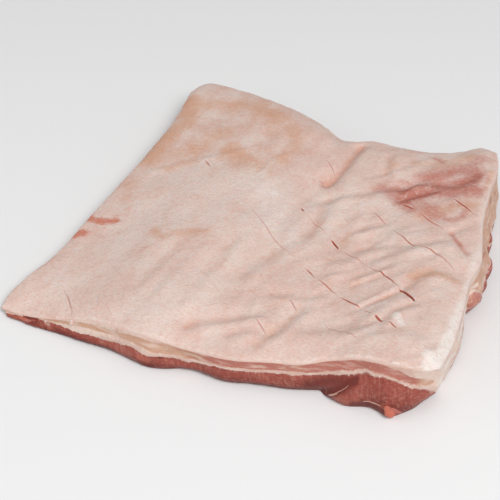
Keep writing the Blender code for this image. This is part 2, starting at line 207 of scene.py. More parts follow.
# Lumps and hollows of the cut sides: centre, radius and how far they stand out.
Lump = namedtuple("Lump", "place radius out")
LUMPS = (
    Lump((99, -142, 9), 13.0, 3.5),
    Lump((124, -141, 7), 9.0, 2.5),
    Lump((121, -146, 1), 5.0, 1.4),
    Lump((109, -142, 0), 7.0, 0.8),
    Lump((134, -138, 2), 6.0, 1.8),
    Lump((147, -127, 2), 6.0, -3.0),
    Lump((60, -143, 10), 14.0, 1.5),
    Lump((14, -148, 8), 16.0, 1.5),
    Lump((-47, -150, 9), 15.0, 1.6),
    Lump((-42, -151, 8), 5.0, 1.4),
    Lump((-90, -141, 6), 12.0, 1.5),
    Lump((154, -31, 14), 7.0, 5.5),
    Lump((152, 34, 14), 5.0, 2.6),
    Lump((154, 8, 12), 6.0, 2.2),
    Lump((156, -12, 10), 4.0, 1.6),
    Lump((152, 22, 10), 3.5, -1.8),
    Lump((155, -3, 8), 3.0, -1.6),
    Lump((150, 70, 12), 6.0, 1.8),
    Lump((149, 92, 10), 5.0, 1.4),
    Lump((152, -44, 4), 7.0, -3.0),
    Lump((150, -84, 14), 9.0, 1.5),
    Lump((144, -128, 12), 9.0, 2.4),
    Lump((151, -100, 27), 4.5, 2.6),
    Lump((153, 10, 20), 10.0, 2.0),
    Lump((150, 55, 18), 14.0, 2.0),
    Lump((-60, 143, 12), 18.0, 2.0),
    Lump((60, 111, 12), 16.0, 2.0),
    Lump((-130, -10, 9), 18.0, 1.5),
)

# A mark shows along a line, within its reach, with its strength.
Mark = namedtuple("Mark", "line reach strength")

# Streaks on the cut sides. A station is a place on the rim, 0 to 1 on the near side and on to
# 4 by the right, far and left sides, with the heights, as shares of the side, of the tops of
# the lower lean, the fat seam and the upper lean, and how tan that upper lean is.
Streak = namedtuple("Streak", "place lower seam upper tan")
STREAKS = (
    Streak(0.00, 0.55, 0.66, 0.76, 0.7),
    Streak(0.04, 0.74, 0.80, 0.86, 0.8),
    Streak(0.09, 0.86, 0.91, 0.96, 0.8),
    Streak(0.115, 0.77, 0.84, 0.95, 0.9),
    Streak(0.135, 0.68, 0.77, 0.96, 0.9),
    Streak(0.17, 0.55, 0.77, 0.94, 1.0),
    Streak(0.21, 0.49, 0.73, 0.90, 1.0),
    Streak(0.245, 0.44, 0.65, 0.86, 1.0),
    Streak(0.28, 0.46, 0.66, 0.80, 1.0),
    Streak(0.325, 0.57, 0.72, 0.88, 0.9),
    Streak(0.36, 0.46, 0.65, 0.91, 0.8),
    Streak(0.39, 0.49, 0.60, 0.86, 0.8),
    Streak(0.42, 0.46, 0.59, 0.94, 0.8),
    Streak(0.45, 0.45, 0.58, 0.94, 0.65),
    Streak(0.485, 0.55, 0.64, 0.95, 0.5),
    Streak(0.52, 0.64, 0.72, 0.96, 0.35),
    Streak(0.58, 0.60, 0.69, 0.96, 0.25),
    Streak(0.64, 0.63, 0.72, 0.96, 0.35),
    Streak(0.70, 0.63, 0.73, 0.95, 0.45),
    Streak(0.73, 0.62, 0.69, 0.95, 0.25),
    Streak(0.76, 0.63, 0.71, 0.95, 0.1),
    Streak(0.79, 0.64, 0.74, 0.95, 0.05),
    Streak(0.82, 0.66, 0.75, 0.95, 0.0),
    Streak(0.855, 0.72, 0.78, 0.95, 0.0),
    Streak(0.885, 0.73, 0.78, 0.94, 0.0),
    Streak(0.913, 0.67, 0.72, 0.91, 0.0),
    Streak(0.94, 0.56, 0.63, 0.79, 0.2),
    Streak(0.972, 0.49, 0.57, 0.74, 0.8),
    Streak(1.00, 0.36, 0.50, 0.62, 1.0),
    Streak(1.04, 0.02, 0.48, 0.55, 0.8),
    Streak(1.12, 0.05, 0.42, 0.54, 0.6),
    Streak(1.20, 0.12, 0.38, 0.56, 0.6),
    Streak(1.30, 0.24, 0.36, 0.62, 0.7),
    Streak(1.36, 0.28, 0.33, 0.74, 0.9),
    Streak(1.45, 0.32, 0.37, 0.86, 0.7),
    Streak(1.55, 0.36, 0.40, 0.88, 0.6),
    Streak(1.66, 0.30, 0.35, 0.88, 0.65),
    Streak(1.76, 0.18, 0.24, 0.88, 0.7),
    Streak(1.95, 0.24, 0.36, 0.86, 1.0),
    Streak(2.15, 0.45, 0.55, 0.80, 0.4),
    Streak(2.40, 0.40, 0.58, 0.88, 0.2),
    Streak(2.65, 0.48, 0.58, 0.84, 0.3),
    Streak(2.90, 0.44, 0.60, 0.90, 0.6),
    Streak(3.20, 0.50, 0.62, 0.88, 0.3),
    Streak(3.55, 0.42, 0.60, 0.90, 0.2),
    Streak(3.85, 0.55, 0.68, 0.84, 0.5),
    Streak(4.00, 0.62, 0.72, 0.80, 0.7),
)
RIND_FAT, RIND = 3.5, 5.0

# Places of the cut sides where something other than the plain streaks shows.
FATTY = (
    Mark(((-128, -138, 8), (-124, -138, 6), (-119, -139, 4.5)), 3.4, 0.5),
    Mark(((-51, -152, 14), (-48.5, -154, 10), (-47, -154, 7)), 3.4, 0.42),
    Mark(((149, -131, 34), (150, -126, 28), (149, -124, 12)), 4.0, 1.0),
    Mark(((152, -124, 20), (152, -96, 22)), 11, 1.0),
    Mark(((153, -88, 21), (154, -52, 23)), 9, 1.0),
    Mark(((153, -47, 21), (155, -38, 26), (155.5, -29, 24)), 2.2, 1.0),
)
MEATY = (
    Mark(((-138, -138, 4), (-127, -138, 4)), 3.2, 1.0),
    Mark(((150, -10, 30), (152, 10, 24), (150, 30, 30)), 3.0, 0.45),
    Mark(((149, 50, 26), (149, 60, 30), (148, 84, 22)), 3.0, 0.45),
)
ORANGE = (
    Mark(((-146, -138, 3), (-140, -138, 3)), 4.0, 0.5),
    Mark(((-46, -154, 8), (-41, -155, 7)), 4.0, 0.9),
    Mark(((88, -147, 6), (98, -147, 6)), 6.0, 0.7),
    Mark(((118, -148, 8), (124, -147, 1)), 5.0, 1.0),
    Mark(((155, 8, 14), (157, -14, 12)), 5.0, 0.3),
)

# Painted shade in the hollows, clefts and along the foot of the lean: line in space, reach and strength.
HOLLOW_SHADES = (
    Mark(((97, -144, 21), (92, -146, 17.5), (87, -147, 12), (80, -147, 6)), 3.0, 1.0),
    Mark(((92, -145, 18), (80, -145, 14), (66, -145, 8)), 6.5, 0.75),
    Mark(((98, -143, 4), (107, -143, 4.5), (118, -144, 4)), 4.0, 1.0),
    Mark(((-112, -141, 1), (-90, -144, 1), (-70, -146, 1)), 4.5, 1.0),
    Mark(((-43, -152, 15), (-38, -152, 13.5), (-33, -151, 11)), 1.8, 1.0),
    Mark(((-136, -138, 4), (-130, -138, 4)), 2.6, 0.8),
    Mark(((30, -146, 1), (76, -142, 1)), 3.5, 0.8),
)
# How much a mark's distance counts across the cut side that it lies on.
DEPTH_SHARE = 0.25

# How frayed the streaks' borders are round the rim.
FRAYING = ((0.0, 0.7), (0.95, 0.7), (1.1, 1.9), (2.0, 1.9), (2.1, 1.7), (3.9, 1.7), (4.0, 0.7))

# How far the hidden sides' streaks sway, how often round the rim, their lots of soft noise and
# the thinnest streak.
STREAK_SWAY = 0.3
STREAK_TURNS = 9.0
LOWER_LOT, SEAM_LOT = 8, 9
THIN_STREAK = 0.03

# How far a cut side stands out at each streak.
STREAK_RELIEF = (
    (0.0, -0.4), (0.1, 0.3), (0.5, 1.1), (0.9, 0.6), (1.0, 0.0), (1.15, 0.3), (1.5, 0.4), (1.9, 0.3),
    (2.0, -0.1), (2.5, -0.2), (2.9, -0.1), (3.0, 0.0), (3.2, 0.1), (3.7, 0.1), (4.0, 0.0))

# Knife cuts in the rind: plan line, gape and depth. A hairline has gape but hardly any depth.
Cut = namedtuple("Cut", "line gape depth")
CUTS = (
    Cut(((-119, -115), (-113, -121), (-108, -128), (-104, -134), (-103, -138)), 0.7, 1.2),
    Cut(((16, 8), (20, 4)), 1.0, 2.0),
    Cut(((47, -21), (51, -25), (55, -29)), 1.4, 3.0),
    Cut(((20, -115), (33, -126)), 0.7, 1.1),
    Cut(((38, -57), (48, -65)), 0.9, 1.2),
    Cut(((68, -79), (77, -84), (87, -90)), 1.0, 1.9),
    Cut(((97, -98), (104, -104)), 1.3, 2.2),
    Cut(((107, -104), (115, -110)), 0.9, 1.6),
    Cut(((80, -45), (93, -54), (100, -60), (107, -66)), 0.9, 1.8),
    Cut(((106, -66), (113, -73), (120, -80)), 1.8, 4.2),
    Cut(((84, 3), (95, -8), (107, -18), (120, -24), (130, -31), (136, -36), (140, -41)), 0.85, 1.5),
    Cut(((86, 30), (92, 27), (97, 24)), 1.3, 1.8),
    Cut(((120, 44), (130, 36), (140, 28)), 1.1, 1.9),
    Cut(((37, -91), (45, -99)), 0.7, 1.4),
)
HAIRLINES = (
    Cut(((-92, -120), (-81, -129), (-71, -138)), 0.45, 0.15),
    Cut(((-151, -108), (-122, -113)), 0.45, 0.15),
    Cut(((-105, -76), (-73, -109)), 0.45, 0.15),
    Cut(((-109, 26), (-76, -6)), 0.45, 0.15),
    Cut(((-75, -105), (-66, -113), (-44, -127)), 0.45, 0.15),
    Cut(((-53, -69), (-39, -76), (-21, -88), (-7, -101), (9, -113), (20, -115)), 0.5, 0.15),
    Cut(((-71, 44), (-62, 34)), 0.9, 0.3),
    Cut(((-29, 5), (-13, -10), (11, -35), (38, -57)), 0.7, 0.2),
    Cut(((20, 4), (47, -21)), 0.7, 0.2),
    Cut(((55, -29), (80, -45)), 0.8, 0.3),
    Cut(((48, -65), (68, -79)), 0.9, 0.4),
    Cut(((87, -90), (97, -98)), 0.7, 0.2),
    Cut(((18, 69), (31, 56)), 0.8, 0.3),
    Cut(((66, 20), (84, 3)), 0.8, 0.3),
    Cut(((98, 24), (112, 12), (125, 3)), 0.9, 0.5),
    Cut(((65, -107), (72, -113), (82, -117), (96, -126)), 0.8, 0.3),
)

# Steps of the near side: a line of x and z; what lies to its lower right stands out farther.
Step = namedtuple("Step", "line reach_left reach_right back out")
NEAR_STEPS = (
    Step(((100, 23), (94, 18), (88, 11.5), (78, 3)), 8.0, 14.0, 1.8, 2.2),
)

# Clefts of the cut sides: line in space, gape and depth.
Cleft = namedtuple("Cleft", "line gape depth")
SIDE_CLEFTS = (
    Cleft(((98, -146, 5), (107, -147, 6), (118, -147, 7)), 1.9, 3.4),
    Cleft(((-43, -152, 15), (-38, -152, 13.5), (-33, -151, 11)), 1.2, 1.2),
)

# Shares of a cut side's height and how far it stands out there.
SIDE_PROFILE = (
    (0.0, -0.5), (0.08, 0.2), (0.25, 1.2), (0.45, 0.7), (0.56, 0.8), (0.66, 0.1), (0.82, 0.0),
    (0.92, 0.2), (1.0, 0.0))

# Strands that lie on the cut sides: line in space, width and thickness, lift off the side.
Strand = namedtuple("Strand", "line width thickness lift")
FASCIAS = (
    Strand(((92, -146, 19), (89.5, -147, 16), (86, -147, 12), (81, -147, 7)), 0.6, 0.4, 0.0),
    Strand(((86, -148, 11), (82, -147, 7.5), (77, -147, 5)), 1.4, 0.6, 0.0),
    Strand(((104, -150, 7.6), (109, -150, 8.2), (115, -150, 8.6)), 0.9, 0.5, 0.1),
    Strand(((156, 6, 17), (156.5, -2, 15), (157, -10, 14)), 0.8, 0.5, 0.1),
    Strand(((152, 62, 18), (152.5, 50, 18), (153, 40, 17)), 0.7, 0.5, 0.1),
)
SHREDS = (
    Strand(((119, -148, 11), (121.5, -149, 6), (123, -148, 1.5)), 6.5, 3.0, 0.6),
    Strand(((122, -149, 10), (126, -147, 6), (129, -146, 3)), 3.2, 1.6, 0.3),
    Strand(((152, 42, 15), (153, 36, 14), (153, 30, 15)), 3.0, 1.5, 0.3),
    Strand(((155, 12, 14), (156, 6, 13), (156.5, 0, 14)), 2.6, 1.4, 0.2),
    Strand(((-145, -138, 4.5), (-138, -139, 4.5), (-130, -139, 4.5)), 2.4, 0.9, -0.1),
)
FLAPS = (
    Strand(((-102.5, -138, 13.5), (-102.5, -139.5, 11), (-103, -140, 9)), 3.2, 1.2, 0.3),
)

# A strand's mesh, the step by which its way is taken, and how uneven it is and how often.
STRAND_SIDES = 10
STRAND_SECTIONS = 22
STRAND_STEP = 0.02
STRAND_RAGGED = 0.35
STRAND_BUMPS = 4

# The round end of a small muscle in the right side: middle, half sizes and the way it faces,
# then its lobes, its bumps and its mesh.
MUSCLE_MIDDLE = (152.2, -38.0, 17.8)
MUSCLE_HALF = (7.2, 7.4, 4.8)
MUSCLE_FACING = (0.72, -0.68, 0.14)
MUSCLE_LOBES = 0.05
MUSCLE_LOBE_COUNT = 3
MUSCLE_LOBE_TURN = 0.6
MUSCLE_BUMPS = 2
MUSCLE_SEGMENTS = (40, 28)

# How the rind's edge rolls over, how far in from it the folds and the wrinkles fade, and how
# many reaches away a fold is still felt.
RIND_ROLL = 3.5
RIND_ROLL_REACH = 11.0
RIM_RADIUS = 2.0
RIM_SHARE = 0.5
FOLD_FADE = 9.0
WRINKLE_FADE = 2.5
FOLD_SIGHT = 3.6

# The cut sides: how soon their relief fades at the rim and the foot, how sharply they turn at
# the corners, where the near side begins, and how soft a step is.
RIM_CLEARANCE = 4.0
CORNER_TURN = 9
NEAR_SIDE_LIMIT = -120.0
STEP_BLUR = 1.5

# Knife cuts: how far off they are felt, how far the finer faces reach, how wide the groove's
# slope is, how far off the opening fades, and where its lips stand, how wide and how high.
CUT_SIGHT = 6.0
CUT_BORDER = 2.0
CUT_SLOPE = 0.15
LIP_REACH = 1.5
LIP_OFFSET = 0.9
LIP_WIDTH = 0.8
LIP_HEIGHT = 0.04

# Lines are drawn with this many steps for each of their points.
LINE_STEPS = 3

# Soft noise: how far apart its lots lie, how fast its finer lumps fade, how much finer each set
# of them is and how many sets there are.
LOT_SHIFT = (17.3, 5.1, 9.7)
NOISE_FADE = 1.0
NOISE_FINER = 2.0
NOISE_OCTAVES = 3

# Soft unevenness: how high it is, how large its lumps are and its lot of soft noise.
Rough = namedtuple("Rough", "height size lot")
SIDE_LUMPS = Rough(0.55, 8.0, 1)
SIDE_GRAIN = Rough(0.3, 3.0, 2)
DIMPLES = Rough(0.16, 11.0, 3)
HOLLOWS = Rough(1.4, 40.0, 4)
RIM_BUMPS = Rough(0.7, 7.0, 6)
RIM_BUMPS_REACH = 8.0

# The cut sides' grain: how much flatter than wide it is, how strong it is in fat, and what is
# left of the unevenness at the foot.
GRAIN_FLATNESS = (1.0, 1.0, 1.6)
FAT_GRAIN = 0.45
FOOT_ROUGHNESS = 0.4

# The underside's hollows take up somewhat more than half of it and are full this far in.
HOLLOW_SHARE = 0.3
HOLLOW_BORDER = 20.0

# The mesh: rows just inside the rim, rows down the cut sides, columns to each wider one below,
# how near two of them are the same, and how much wider the columns are on the left.
RIM_ROWS = (0.0015, 0.005)
SIDE_ROWS = 26
UNDERSIDE_STEP = 4
SAME_COLUMN = 0.0002
LEFT_STRETCH = 0.22

# How many steps of neighbours are a vertex's surroundings.
SURROUND_STEPS = 14

# How near the rim a point is on it, and a share that is nearly none.
ON_EDGE = 0.01
NEARLY_NONE = 1e-6

# Soft light that enters the flesh, for each colour channel, in millimetres.
FLESH_GLOW = 0.12
FLESH_SHINE = 0.32
FLESH_REACH = (2.4, 0.9, 0.6)

# The mean of a noise texture.
NOISE_MIDDLE = 0.5

# The slab body's materials, in the order of their slots.
RIND_FINISH, FLESH_FINISH, UNDERSIDE_FINISH = range(3)

# The stage, in metres and degrees.
FLOOR_GAP = 0.0003
FLOOR_ROUGHNESS = 0.8
LIGHT_TARGET = (0.0, 0.0, 0.02)
KEY_PLACE = (1.18, -1.28, 1.98)
KEY_SIZE = 1.1
FILL_PLACE = (-0.9, -0.5, 0.8)
FILL_SIZE = 1.2
CAMERA_ELEVATION = 39.0
CAMERA_AZIMUTH = 18.0
CAMERA_TARGET = (-0.0164, -0.01415, 0.0)
CAMERA_DISTANCE = 0.962
CAMERA_LENS = 93.6

# Marks on the rind: plan line, reach and strength.
# Tan scald stains on the left half; many marks on the right half lie along the folds' dark slopes and
# are painted shade there.
STAINS_AND_FOLD_SHADE = (
    Mark(((-76, -50), (-68, -55), (-55, -48), (-38, -42)), 6, 0.6),
    Mark(((-96, 30), (-88, 36), (-80, 44)), 9, 0.6),
    Mark(((-112, 100), (-60, 118), (-16, 84)), 32, 0.42),
    Mark(((-92, 50), (-78, 66), (-66, 82)), 14, 0.6),
    Mark(((-54, 58), (-38, 48), (-22, 36)), 14, 0.75),
    Mark(((-109, 122), (-104, 96), (-112, 70), (-116, 40)), 12, 0.9),
    Mark(((-88, 118), (-60, 122), (-30, 108)), 14, 0.75),
    Mark(((-20, 100), (-8, 84), (-14, 60)), 12, 0.6),
    Mark(((-124, 10), (-112, -10)), 12, 0.4),
    Mark(((34, -132), (37, -118), (44, -108)), 5, 0.5),
    Mark(((16, -34), (12, -54)), 6, 0.4),
    Mark(((36, -6), (32, -26)), 5, 0.5),
    Mark(((66, 84), (68, 76)), 7, 0.4),
    Mark(((112, -52), (124, -48), (138, -50)), 7, 0.7),
    Mark(((64, -66), (90, -56)), 7, 0.3),
    Mark(((58, -10), (56, -30)), 5, 0.35),
    Mark(((90, 84), (108, 92), (122, 100)), 11, 0.55),
    Mark(((104, 20), (122, 30), (136, 40)), 9, 0.65),
    Mark(((141, 60), (143, 84)), 4, 0.6),
)
BLOOD = (
    Mark(((-134, -37), (-127, -39), (-119, -39), (-112, -38)), 4.2, 1.0),
    Mark(((-142, -62), (-137, -58), (-131, -54)), 5.6, 0.95),
)
BRUISES = (
    Mark(((68, 49), (81, 38), (95, 26)), 7.5, 0.9),
    Mark(((78, 50), (90, 46), (104, 48), (120, 50), (135, 56)), 10, 1.1),
    Mark(((96, 69), (104, 71), (113, 77), (126, 85), (132, 74)), 10, 1.0),
    Mark(((95, 38), (104, 29), (113, 19)), 9, 0.8),
    Mark(((112, 26), (116, 19), (123, 16), (131, 20), (133, 30)), 3.6, 0.75),
    Mark(((80, 60), (91, 63)), 5, 0.6),
    Mark(((129, 1), (135, -8), (142, -17)), 3.2, 0.55),
    Mark(((98, 95), (104, 93)), 3.6, 0.8),
    Mark(((126, 90), (133, 98)), 8, 0.75),
    Mark(((108, 63), (118, 66), (124, 70)), 7, 0.9),
    Mark(((82, 42), (106, 44), (126, 36)), 16, 0.4),
)
# Dark red lines of the bruise along the fold valleys: the bruise's own colour, and painted shade in
# those valleys.
BRUISE_CREASES_AND_SHADE = (
    Mark(((84, 48), (91, 55), (101, 58), (116, 57), (127, 60), (133, 68)), 5.5, 0.95),
    Mark(((87, 34), (98, 43), (107, 50)), 6.0, 0.95),
    Mark(((84, 44), (89, 55)), 3.4, 0.7),
    Mark(((124, 64), (130, 70), (134, 76)), 6.0, 1.0),
    Mark(((129, 1), (133, -5), (137, -10)), 2.0, 0.6),
)
# Pale skin, partly painted highlight, at the near right corner and along the right edge. The broad mark
# in the middle and the mark beside the cut at the right end are painted highlights.
PALE_SKIN_AND_HIGHLIGHTS = (
    Mark(((143, -134), (148, -122), (149, -106)), 6, 1.3),
    Mark(((138, -128), (145, -132)), 4, 1.0),
    Mark(((148, -106), (149, -70)), 5, 0.8),
    Mark(((149, -70), (149, -40), (150, 0), (143, 40), (144, 60)), 4.5, 0.5),
    Mark(((111, -98), (117, -105)), 4.5, 0.7),
    Mark(((-25, 30), (0, 0), (15, -30)), 28, 0.5),
    Mark(((60, 24), (68, 28)), 6, 0.5),
    Mark(((24, 76), (27, 62)), 6, 0.35),
)


def share_between(value, low, high):
    """Smooth share from 0 where a value is low to 1 where it is high."""
    t = np.clip((value - low) / (high - low), 0.0, 1.0)
    return t * t * (3 - 2 * t)


def smooth_curve(stations, share):
    """Points at the given shares (0 to 1) of a smooth curve through the stations."""
    points = np.array(stations, float)
    steps = np.diff(points, axis=0)
    chords = np.linalg.norm(steps, axis=1)
    knots = np.concatenate([[0.0], np.cumsum(chords)]) / chords.sum()
    spans = np.diff(knots)[:, None]
    rates = steps / spans
    slopes = np.empty_like(points)
    slopes[1:-1] = (rates[:-1] * spans[1:] + rates[1:] * spans[:-1]) / (spans[1:] + spans[:-1])
    slopes[0] = rates[0]
    slopes[-1] = rates[-1]
    share = np.clip(share, 0.0, 1.0)
    first = np.clip(np.searchsorted(knots, share, side="right") - 1, 0, len(points) - 2)
    span = (knots[first + 1] - knots[first])[:, None]
    t = (share - knots[first])[:, None] / span
    leaving = (t ** 3 - 2 * t ** 2 + t) * span * slopes[first]
    arriving = (t ** 3 - t ** 2) * span * slopes[first + 1]
    start = (2 * t ** 3 - 3 * t ** 2 + 1) * points[first] + leaving
    end = (3 * t ** 2 - 2 * t ** 3) * points[first + 1] + arriving
    return start + end


def stretched_patch(near, far, left, right, along, across):
    """Points of the surface stretched between four edge curves."""
    u = along[:, None]
    v = across[:, None]
    sides = (1 - v) * smooth_curve(near, along) + v * smooth_curve(far, along)
    ends = (1 - u) * smooth_curve(left, across) + u * smooth_curve(right, across)
    near_corners = (1 - v) * ((1 - u) * np.array(near[0], float) + u * np.array(near[-1], float))
    far_corners = v * ((1 - u) * np.array(far[0], float) + u * np.array(far[-1], float))
    return sides + ends - near_corners - far_corners


def line_position(spots, line):
    """Distance of each plan spot from a line, how far it is to the near right, and its share along."""
    points = [np.array(point, float) for point in line]
    lengths = [np.linalg.norm(end - start) for start, end in zip(points[:-1], points[1:])]
    best = np.full(len(spots), np.inf)
    aside = np.zeros(len(spots))
    where = np.zeros(len(spots))
    walked = 0.0
    for start, end, length in zip(points[:-1], points[1:], lengths):
        way = (end - start) / length
        run = (spots - start) @ way
        inside = np.clip(run, 0.0, length)
        normal = np.array((way[1], -way[0]))
        if normal @ np.array(NEAR_RIGHT_SIDE) < 0:
            normal = -normal
        offset = (spots - start) @ normal
        distance = np.hypot(offset, run - inside)
        closer = distance < best
        best = np.where(closer, distance, best)
        aside = np.where(closer, offset, aside)
        where = np.where(closer, (walked + inside) / sum(lengths), where)
        walked += length
    return best, aside, where


def rounded_line(line):
    """The line drawn as a smooth curve of short steps."""
    if len(line) < 3:
        return line
    shares = np.linspace(0.0, 1.0, LINE_STEPS * len(line))
    return [tuple(point) for point in smooth_curve(line, shares)]


def scattered_wrinkles():
    """Fine folds strewn over the slack part of the rind, turning with the large folds."""
    draw = np.random.default_rng(SEED)
    (left, near), (right, far) = WRINKLE_FIELD
    wrinkles = []
    for _ in range(WRINKLE_COUNT):
        middle = np.array((draw.uniform(left, right), draw.uniform(near, far)))
        turned = float(share_between(middle[0] - WRINKLE_TURN_AT, -WRINKLE_TURN_HALF, WRINKLE_TURN_HALF))
        heading = WRINKLE_HEADING_LEFT + (WRINKLE_HEADING_RIGHT - WRINKLE_HEADING_LEFT) * turned
        heading = math.radians(heading + draw.normal(0, WRINKLE_STRAY))
        half = np.array((math.cos(heading), math.sin(heading))) * draw.uniform(*WRINKLE_LENGTH) / 2
        bend = np.array((-half[1], half[0])) * draw.uniform(-WRINKLE_BEND, WRINKLE_BEND)
        line = (tuple(middle - half), tuple(middle + bend), tuple(middle + half))
        crest = draw.normal(0, WRINKLE_CREST)
        wrinkles.append(Fold(line, draw.uniform(*WRINKLE_REACH), crest, draw.uniform(*WRINKLE_RISE)))
    return wrinkles


def fold_height(spots, folds, waves=WAVES):
    """Height that the folds and the soft waves add at each plan spot.

    A fold's crest is its height on the line; its rise is what it adds one reach to the near right
    of the line and takes away one reach to the far left.
    """
    height = np.zeros(len(spots))
    for fold in folds:
        points = np.array(fold.line, float)
        margin = FOLD_SIGHT * fold.reach
        seen = np.all((spots > points.min(0) - margin) & (spots < points.max(0) + margin), axis=1)
        distance, aside, _ = line_position(spots[seen], rounded_line(fold.line))
        bell = np.exp(-0.5 * (distance / fold.reach) ** 2)
        height[seen] += fold.crest * bell + fold.rise * aside / fold.reach * bell * math.exp(0.5)
    for wave in waves:
        heading = math.radians(wave.heading)
        run = spots[:, 0] * math.cos(heading) + spots[:, 1] * math.sin(heading)
        height += wave.height * np.sin(run * math.tau / wave.length + math.radians(wave.phase))
    return height


def cut_profile(spots, cuts):
    """The nearest knife cut at each spot: signed distance, openness there and depth of the groove."""
    nearest = np.full(len(spots), CUT_SIGHT)
    opening = np.zeros(len(spots))
    groove = np.zeros(len(spots))
    for cut in cuts:
        distance, aside, share = line_position(spots, rounded_line(cut.line))
        taper = np.sqrt(np.clip(4 * share * (1 - share), 0.0, 1.0))
        half = cut.gape / 2 * taper
        closer = distance < np.abs(nearest)
        nearest = np.where(closer, np.where(aside < 0, -distance, distance), nearest)
        opening = np.where(closer, half * np.clip(2 - distance / LIP_REACH, 0.0, 1.0), opening)
        wedge = np.clip(1 - distance / (half + CUT_SLOPE), 0.0, 1.0) * taper
        lips = np.exp(-((distance - half - LIP_OFFSET) / LIP_WIDTH) ** 2) * taper
        groove = groove + cut.depth * (wedge - LIP_HEIGHT * lips)
    return nearest, opening, groove


def edge_distance(along, across):
    """Distance from the slab's nearest edge, along the rind."""
    sideways = np.minimum(along, 1 - along) * SLAB_LENGTH
    lengthways = np.minimum(across, 1 - across) * SLAB_WIDTH
    return np.minimum(sideways, lengthways)


def rim_place(along, across):
    """Place round the rim: 0 to 1 on the near side, then the right, far and left sides."""
    places = np.stack([along, 1 + across, 3 - along, 4 - across])
    side = np.argmin(np.stack([across, 1 - along, 1 - across, along]), axis=0)
    return np.choose(side, places)


def streak_levels(place):
    """Tops of the lower lean, the seam and the upper lean round the rim, and the upper lean's tan."""
    places, *levels = zip(*STREAKS)
    lower, seam, upper, tan = (np.interp(place, places, level) for level in levels)
    hidden = np.interp(place, *zip(*FRAYING)) - FRAYING[0][1]
    rounds = np.stack([place * STREAK_TURNS, place, place], axis=1)
    lower = lower * (1 + STREAK_SWAY * hidden * noise_at(rounds, 1.0, LOWER_LOT))
    seam = seam * (1 + STREAK_SWAY * hidden * noise_at(rounds, 1.0, SEAM_LOT))
    seam = np.maximum(seam, lower + THIN_STREAK)
    upper = np.maximum(upper, seam + THIN_STREAK)
    return lower, seam, upper, tan


def streak_at(lower, seam, upper, height):
    """Streak coordinate on a cut side: 0 to 1 lower lean, to 2 seam, to 3 upper lean, to 4 rind fat."""
    bounds = [np.zeros_like(lower), lower, seam, upper, np.ones_like(lower)]
    streak = np.zeros_like(height)
    for bottom, top in zip(bounds[:-1], bounds[1:]):
        streak += np.clip((height - bottom) / (top - bottom), 0.0, 1.0)
    return streak


def noise_at(points, size, lot):
    """Soft noise between about -1 and 1 whose lumps are as large as size."""
    shift = Vector([lot * value for value in LOT_SHIFT])
    return np.array([
        noise.fractal(Vector(point) / size + shift, NOISE_FADE, NOISE_FINER, NOISE_OCTAVES)
        for point in points])


def unevenness(points, rough):
    """Height of a soft unevenness at each point."""
    return rough.height * noise_at(points, rough.size, rough.lot)


def outward(along, across):
    """Plan direction away from the slab, square to each side and diagonal at the corners."""
    way = np.stack([(2 * along - 1) ** CORNER_TURN, (2 * across - 1) ** CORNER_TURN], axis=1)
    length = np.maximum(np.linalg.norm(way, axis=1, keepdims=True), NEARLY_NONE)
    return way / length


def folded_rind(along, across, folds, strength):
    """Points of the rind: rolled over near its edges, folded farther in."""
    points = stretched_patch(NEAR_RIM, FAR_RIM, LEFT_RIM, RIGHT_RIM, along, across)
    inset = edge_distance(along, across)
    points[:, 2] += RIND_ROLL * (1 - np.exp(-inset / RIND_ROLL_REACH))
    calm = 1 - np.exp(-((inset / FOLD_FADE) ** 2))
    points[:, 2] += calm * strength * fold_height(points[:, :2], folds)
    turn = np.clip(1 - inset / RIM_RADIUS, 0.0, 1.0)
    points[:, 2] -= RIM_RADIUS * RIM_SHARE * (1 - np.sqrt(1 - turn ** 2))
    return points


def side_push(points, streak, height, relief):
    """How far the cut side stands out at each point, from its streaks, lumps and grain."""
    push = np.interp(height, *zip(*SIDE_PROFILE))
    push += relief * np.interp(streak, *zip(*STREAK_RELIEF))
    clear_of_rim = np.clip(RIM_CLEARANCE * (1 - height), 0.0, 1.0)
    for lump in LUMPS:
        gap = np.linalg.norm(points - np.array(lump.place, float), axis=1)
        push += lump.out * np.exp(-0.5 * (gap / lump.radius) ** 2) * clear_of_rim
    clear_of_foot = np.clip(RIM_CLEARANCE * height, 0.0, 1.0)
    lean = np.where((streak < 1) | ((streak > 2) & (streak < 3)), 1.0, FAT_GRAIN)
    grain = unevenness(points * np.array(GRAIN_FLATNESS), SIDE_GRAIN)
    rough = unevenness(points, SIDE_LUMPS) + lean * grain
    push += relief * rough * clear_of_rim * (FOOT_ROUGHNESS + (1 - FOOT_ROUGHNESS) * clear_of_foot)
    facing = points[:, 1] < NEAR_SIDE_LIMIT
    for step in NEAR_STEPS:
        distance, aside, _ = line_position(points[:, [0, 2]], rounded_line(step.line))
        front = step.out * np.exp(-((distance / step.reach_right) ** 2))
        behind = -step.back * np.exp(-((distance / step.reach_left) ** 2))
        turn = share_between(aside, -STEP_BLUR, STEP_BLUR)
        push += np.where(facing, behind + (front - behind) * turn, 0.0) * clear_of_rim
    for line, gape, depth in SIDE_CLEFTS:
        gap = line_distance(points, line)
        push -= depth * np.exp(-((gap / gape) ** 2))
    return push


def line_distance(points, line):
    """Distance of each point from a line of points in space."""
    best = np.full(len(points), np.inf)
    for start, end in zip(line[:-1], line[1:]):
        start = np.array(start, float)
        way = np.array(end, float) - start
        share = np.clip((points - start) @ way / (way @ way), 0.0, 1.0)
        best = np.minimum(best, np.linalg.norm(points - start - share[:, None] * way, axis=1))
    return best


